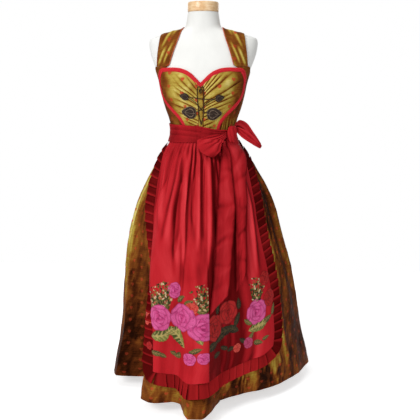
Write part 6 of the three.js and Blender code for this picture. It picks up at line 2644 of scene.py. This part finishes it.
@dataclass
class Studio:
    """Camera, floor and soft light."""

    distance: float = 2.65
    height: float = 1.15
    azimuth: float = 5.0
    tilt: float = 10.45
    focal: float = 705.0  # in pixels of a 420 pixel wide picture
    picture: float = 420.0
    sensor: float = 36.0
    shift: float = 0.016
    ambient: float = 0.28
    aim: Triple = (0.0, 0.0, 0.8)
    # name, place, length of its sides and power of each light
    lights: tuple = (
        ("key_left", (-1.9, -2.6, 2.3), 1.3, 74), ("key_right", (2.1, -2.4, 1.7), 1.6, 15),
        ("top", (0.0, -0.4, 3.2), 1.4, 20), ("back_left", (-1.3, 2.7, 1.9), 1.5, 13),
        ("back_right", (1.3, 2.7, 1.9), 1.5, 13),
    )

    def build(self) -> None:
        """Sets up the camera, the floor, the lights and the world."""
        self._camera()
        self._floor()
        for light in self.lights:
            self._light(*light)
        self._world()
        bpy.context.scene.view_settings.view_transform = "Standard"

    def _world(self) -> None:
        """A white surround that lights the garment less than it shows behind it."""
        world = bpy.data.worlds.new("studio")
        bpy.context.scene.world = world
        world.use_nodes = True
        tree = world.node_tree
        shown = tree.nodes.new("ShaderNodeLightPath").outputs["Is Camera Ray"]
        strength = tree.nodes.new("ShaderNodeMath")
        strength.operation = "MULTIPLY_ADD"
        strength.inputs[1].default_value = 1 - self.ambient
        strength.inputs[2].default_value = self.ambient
        tree.links.new(shown, strength.inputs[0])
        background = tree.nodes["Background"]
        background.inputs["Color"].default_value = (1, 1, 1, 1)
        tree.links.new(strength.outputs[0], background.inputs["Strength"])

    def _camera(self) -> None:
        """The camera in front of the garment, a little to its right."""
        data = bpy.data.cameras.new("camera")
        data.sensor_width = self.sensor
        data.lens = self.focal / self.picture * self.sensor
        data.shift_x = self.shift
        camera = bpy.data.objects.new("camera", data)
        turn = math.radians(self.azimuth)
        camera.location = (self.distance * math.sin(turn), -self.distance * math.cos(turn), self.height)
        camera.rotation_euler = (math.radians(90 - self.tilt), 0, turn)
        bpy.context.scene.collection.objects.link(camera)
        bpy.context.scene.camera = camera

    def _floor(self) -> None:
        """A pale floor."""
        half = 1.6
        mesh = bpy.data.meshes.new("floor")
        corners = [(-half, -half, 0), (half, -half, 0), (half, half, 0), (-half, half, 0)]
        mesh.from_pydata(corners, [], [(0, 1, 2, 3)])
        s = Shader("floor_paint")
        place = s.node("TexCoord").outputs["Object"]
        grain = s.noise(place, 3.0, 3.0)
        colour = s.blend(s.span(grain, 0.3, 0.7), (0.80, 0.80, 0.80), (0.84, 0.84, 0.84))
        white = s.finish(Base_Color=colour, Roughness=0.9, Emission_Color=(1.0, 1.0, 1.0),
                         Emission_Strength=0.6)
        floor = new_object("floor", mesh, white)

    def _light(self, name: str, place: Triple, size: float, power: float) -> None:
        """A square soft light that faces the garment's middle.

        Args:
            name: its name.
            place: its place in metres.
            size: length of its sides.
            power: its power in watts.
        """
        data = bpy.data.lights.new(name, "AREA")
        data.size = size
        data.energy = power
        light = bpy.data.objects.new(name, data)
        light.location = place
        aim = np.array(self.aim) - np.array(place)
        pitch = math.atan2(math.hypot(aim[0], aim[1]), -aim[2])
        light.rotation_euler = (pitch, 0, math.atan2(aim[1], aim[0]) - math.pi / 2)
        bpy.context.scene.collection.objects.link(light)


APRON_CREASES = (
    Crease((-54, 895), (-26, 620), 11, 10, 0),
    Crease((-40, 905), (-30, 740), 8, 4, 0),
    Crease((-25, 905), (-19, 560), 9, 10, 0.5),
    Crease((-16.5, 900), (-6.5, 480), 9, 10, 0.5),
    Crease((-9, 905), (-7, 780), 6, 4, 0),
    Crease((0.5, 895), (2.6, 550), 7, 9, 0),
    Crease((13.5, 895), (7.5, 440), 7, 9, 0.5),
    Crease((-31, 890), (-24.5, 640), 7, -5, 1),
    Crease((-18.5, 800), (-15.5, 480), 7, -7, 1),
    Crease((-4.5, 870), (-1.5, 590), 5, -4, -1.5),
    Crease((6.5, 880), (4.8, 600), 4, -6, -0.6),
    Crease((59.5, 900), (50.5, 430), 9, 9, -1),
    Crease((46, 700), (41, 400), 8, -4, 0),
    Crease((-12, 560), (-18, 300), 28, 6, 0),
    Crease((-1, 540), (2, 300), 16, 5, 0),
)


def main() -> None:
    """Builds the whole picture and reports each piece."""
    logging.basicConfig(level=logging.INFO, format="%(name)s %(message)s")
    form = FormShape()
    skirt = SkirtShape(form)
    apron = ApronShape(skirt, creases=APRON_CREASES)
    taffeta, satin = Taffeta().build(), Satin().build()
    # the ruffle's satin is the apron satin darkened throughout: a copy in painted shade
    shaded_satin = Satin("ruffle_satin_in_shade", dark=(0.075, 0.003, 0.003), middle=(0.330, 0.012, 0.014),
                         lit=(0.520, 0.030, 0.035), gloss=0.0)
    ruffle_satin_in_shade = shaded_satin.build()
    DressForm(form).build()
    Bodice(form, taffeta).build()
    LeafOrnaments(form).build()
    Skirt(skirt, taffeta).build()
    Apron(apron, satin, ruffle_satin_in_shade).build()
    RoseBorder(apron).build()
    SashAndBow(BowLayer(skirt), satin).build()
    Cutting().build()
    Studio().build()


if __name__ == "__main__":
    main()
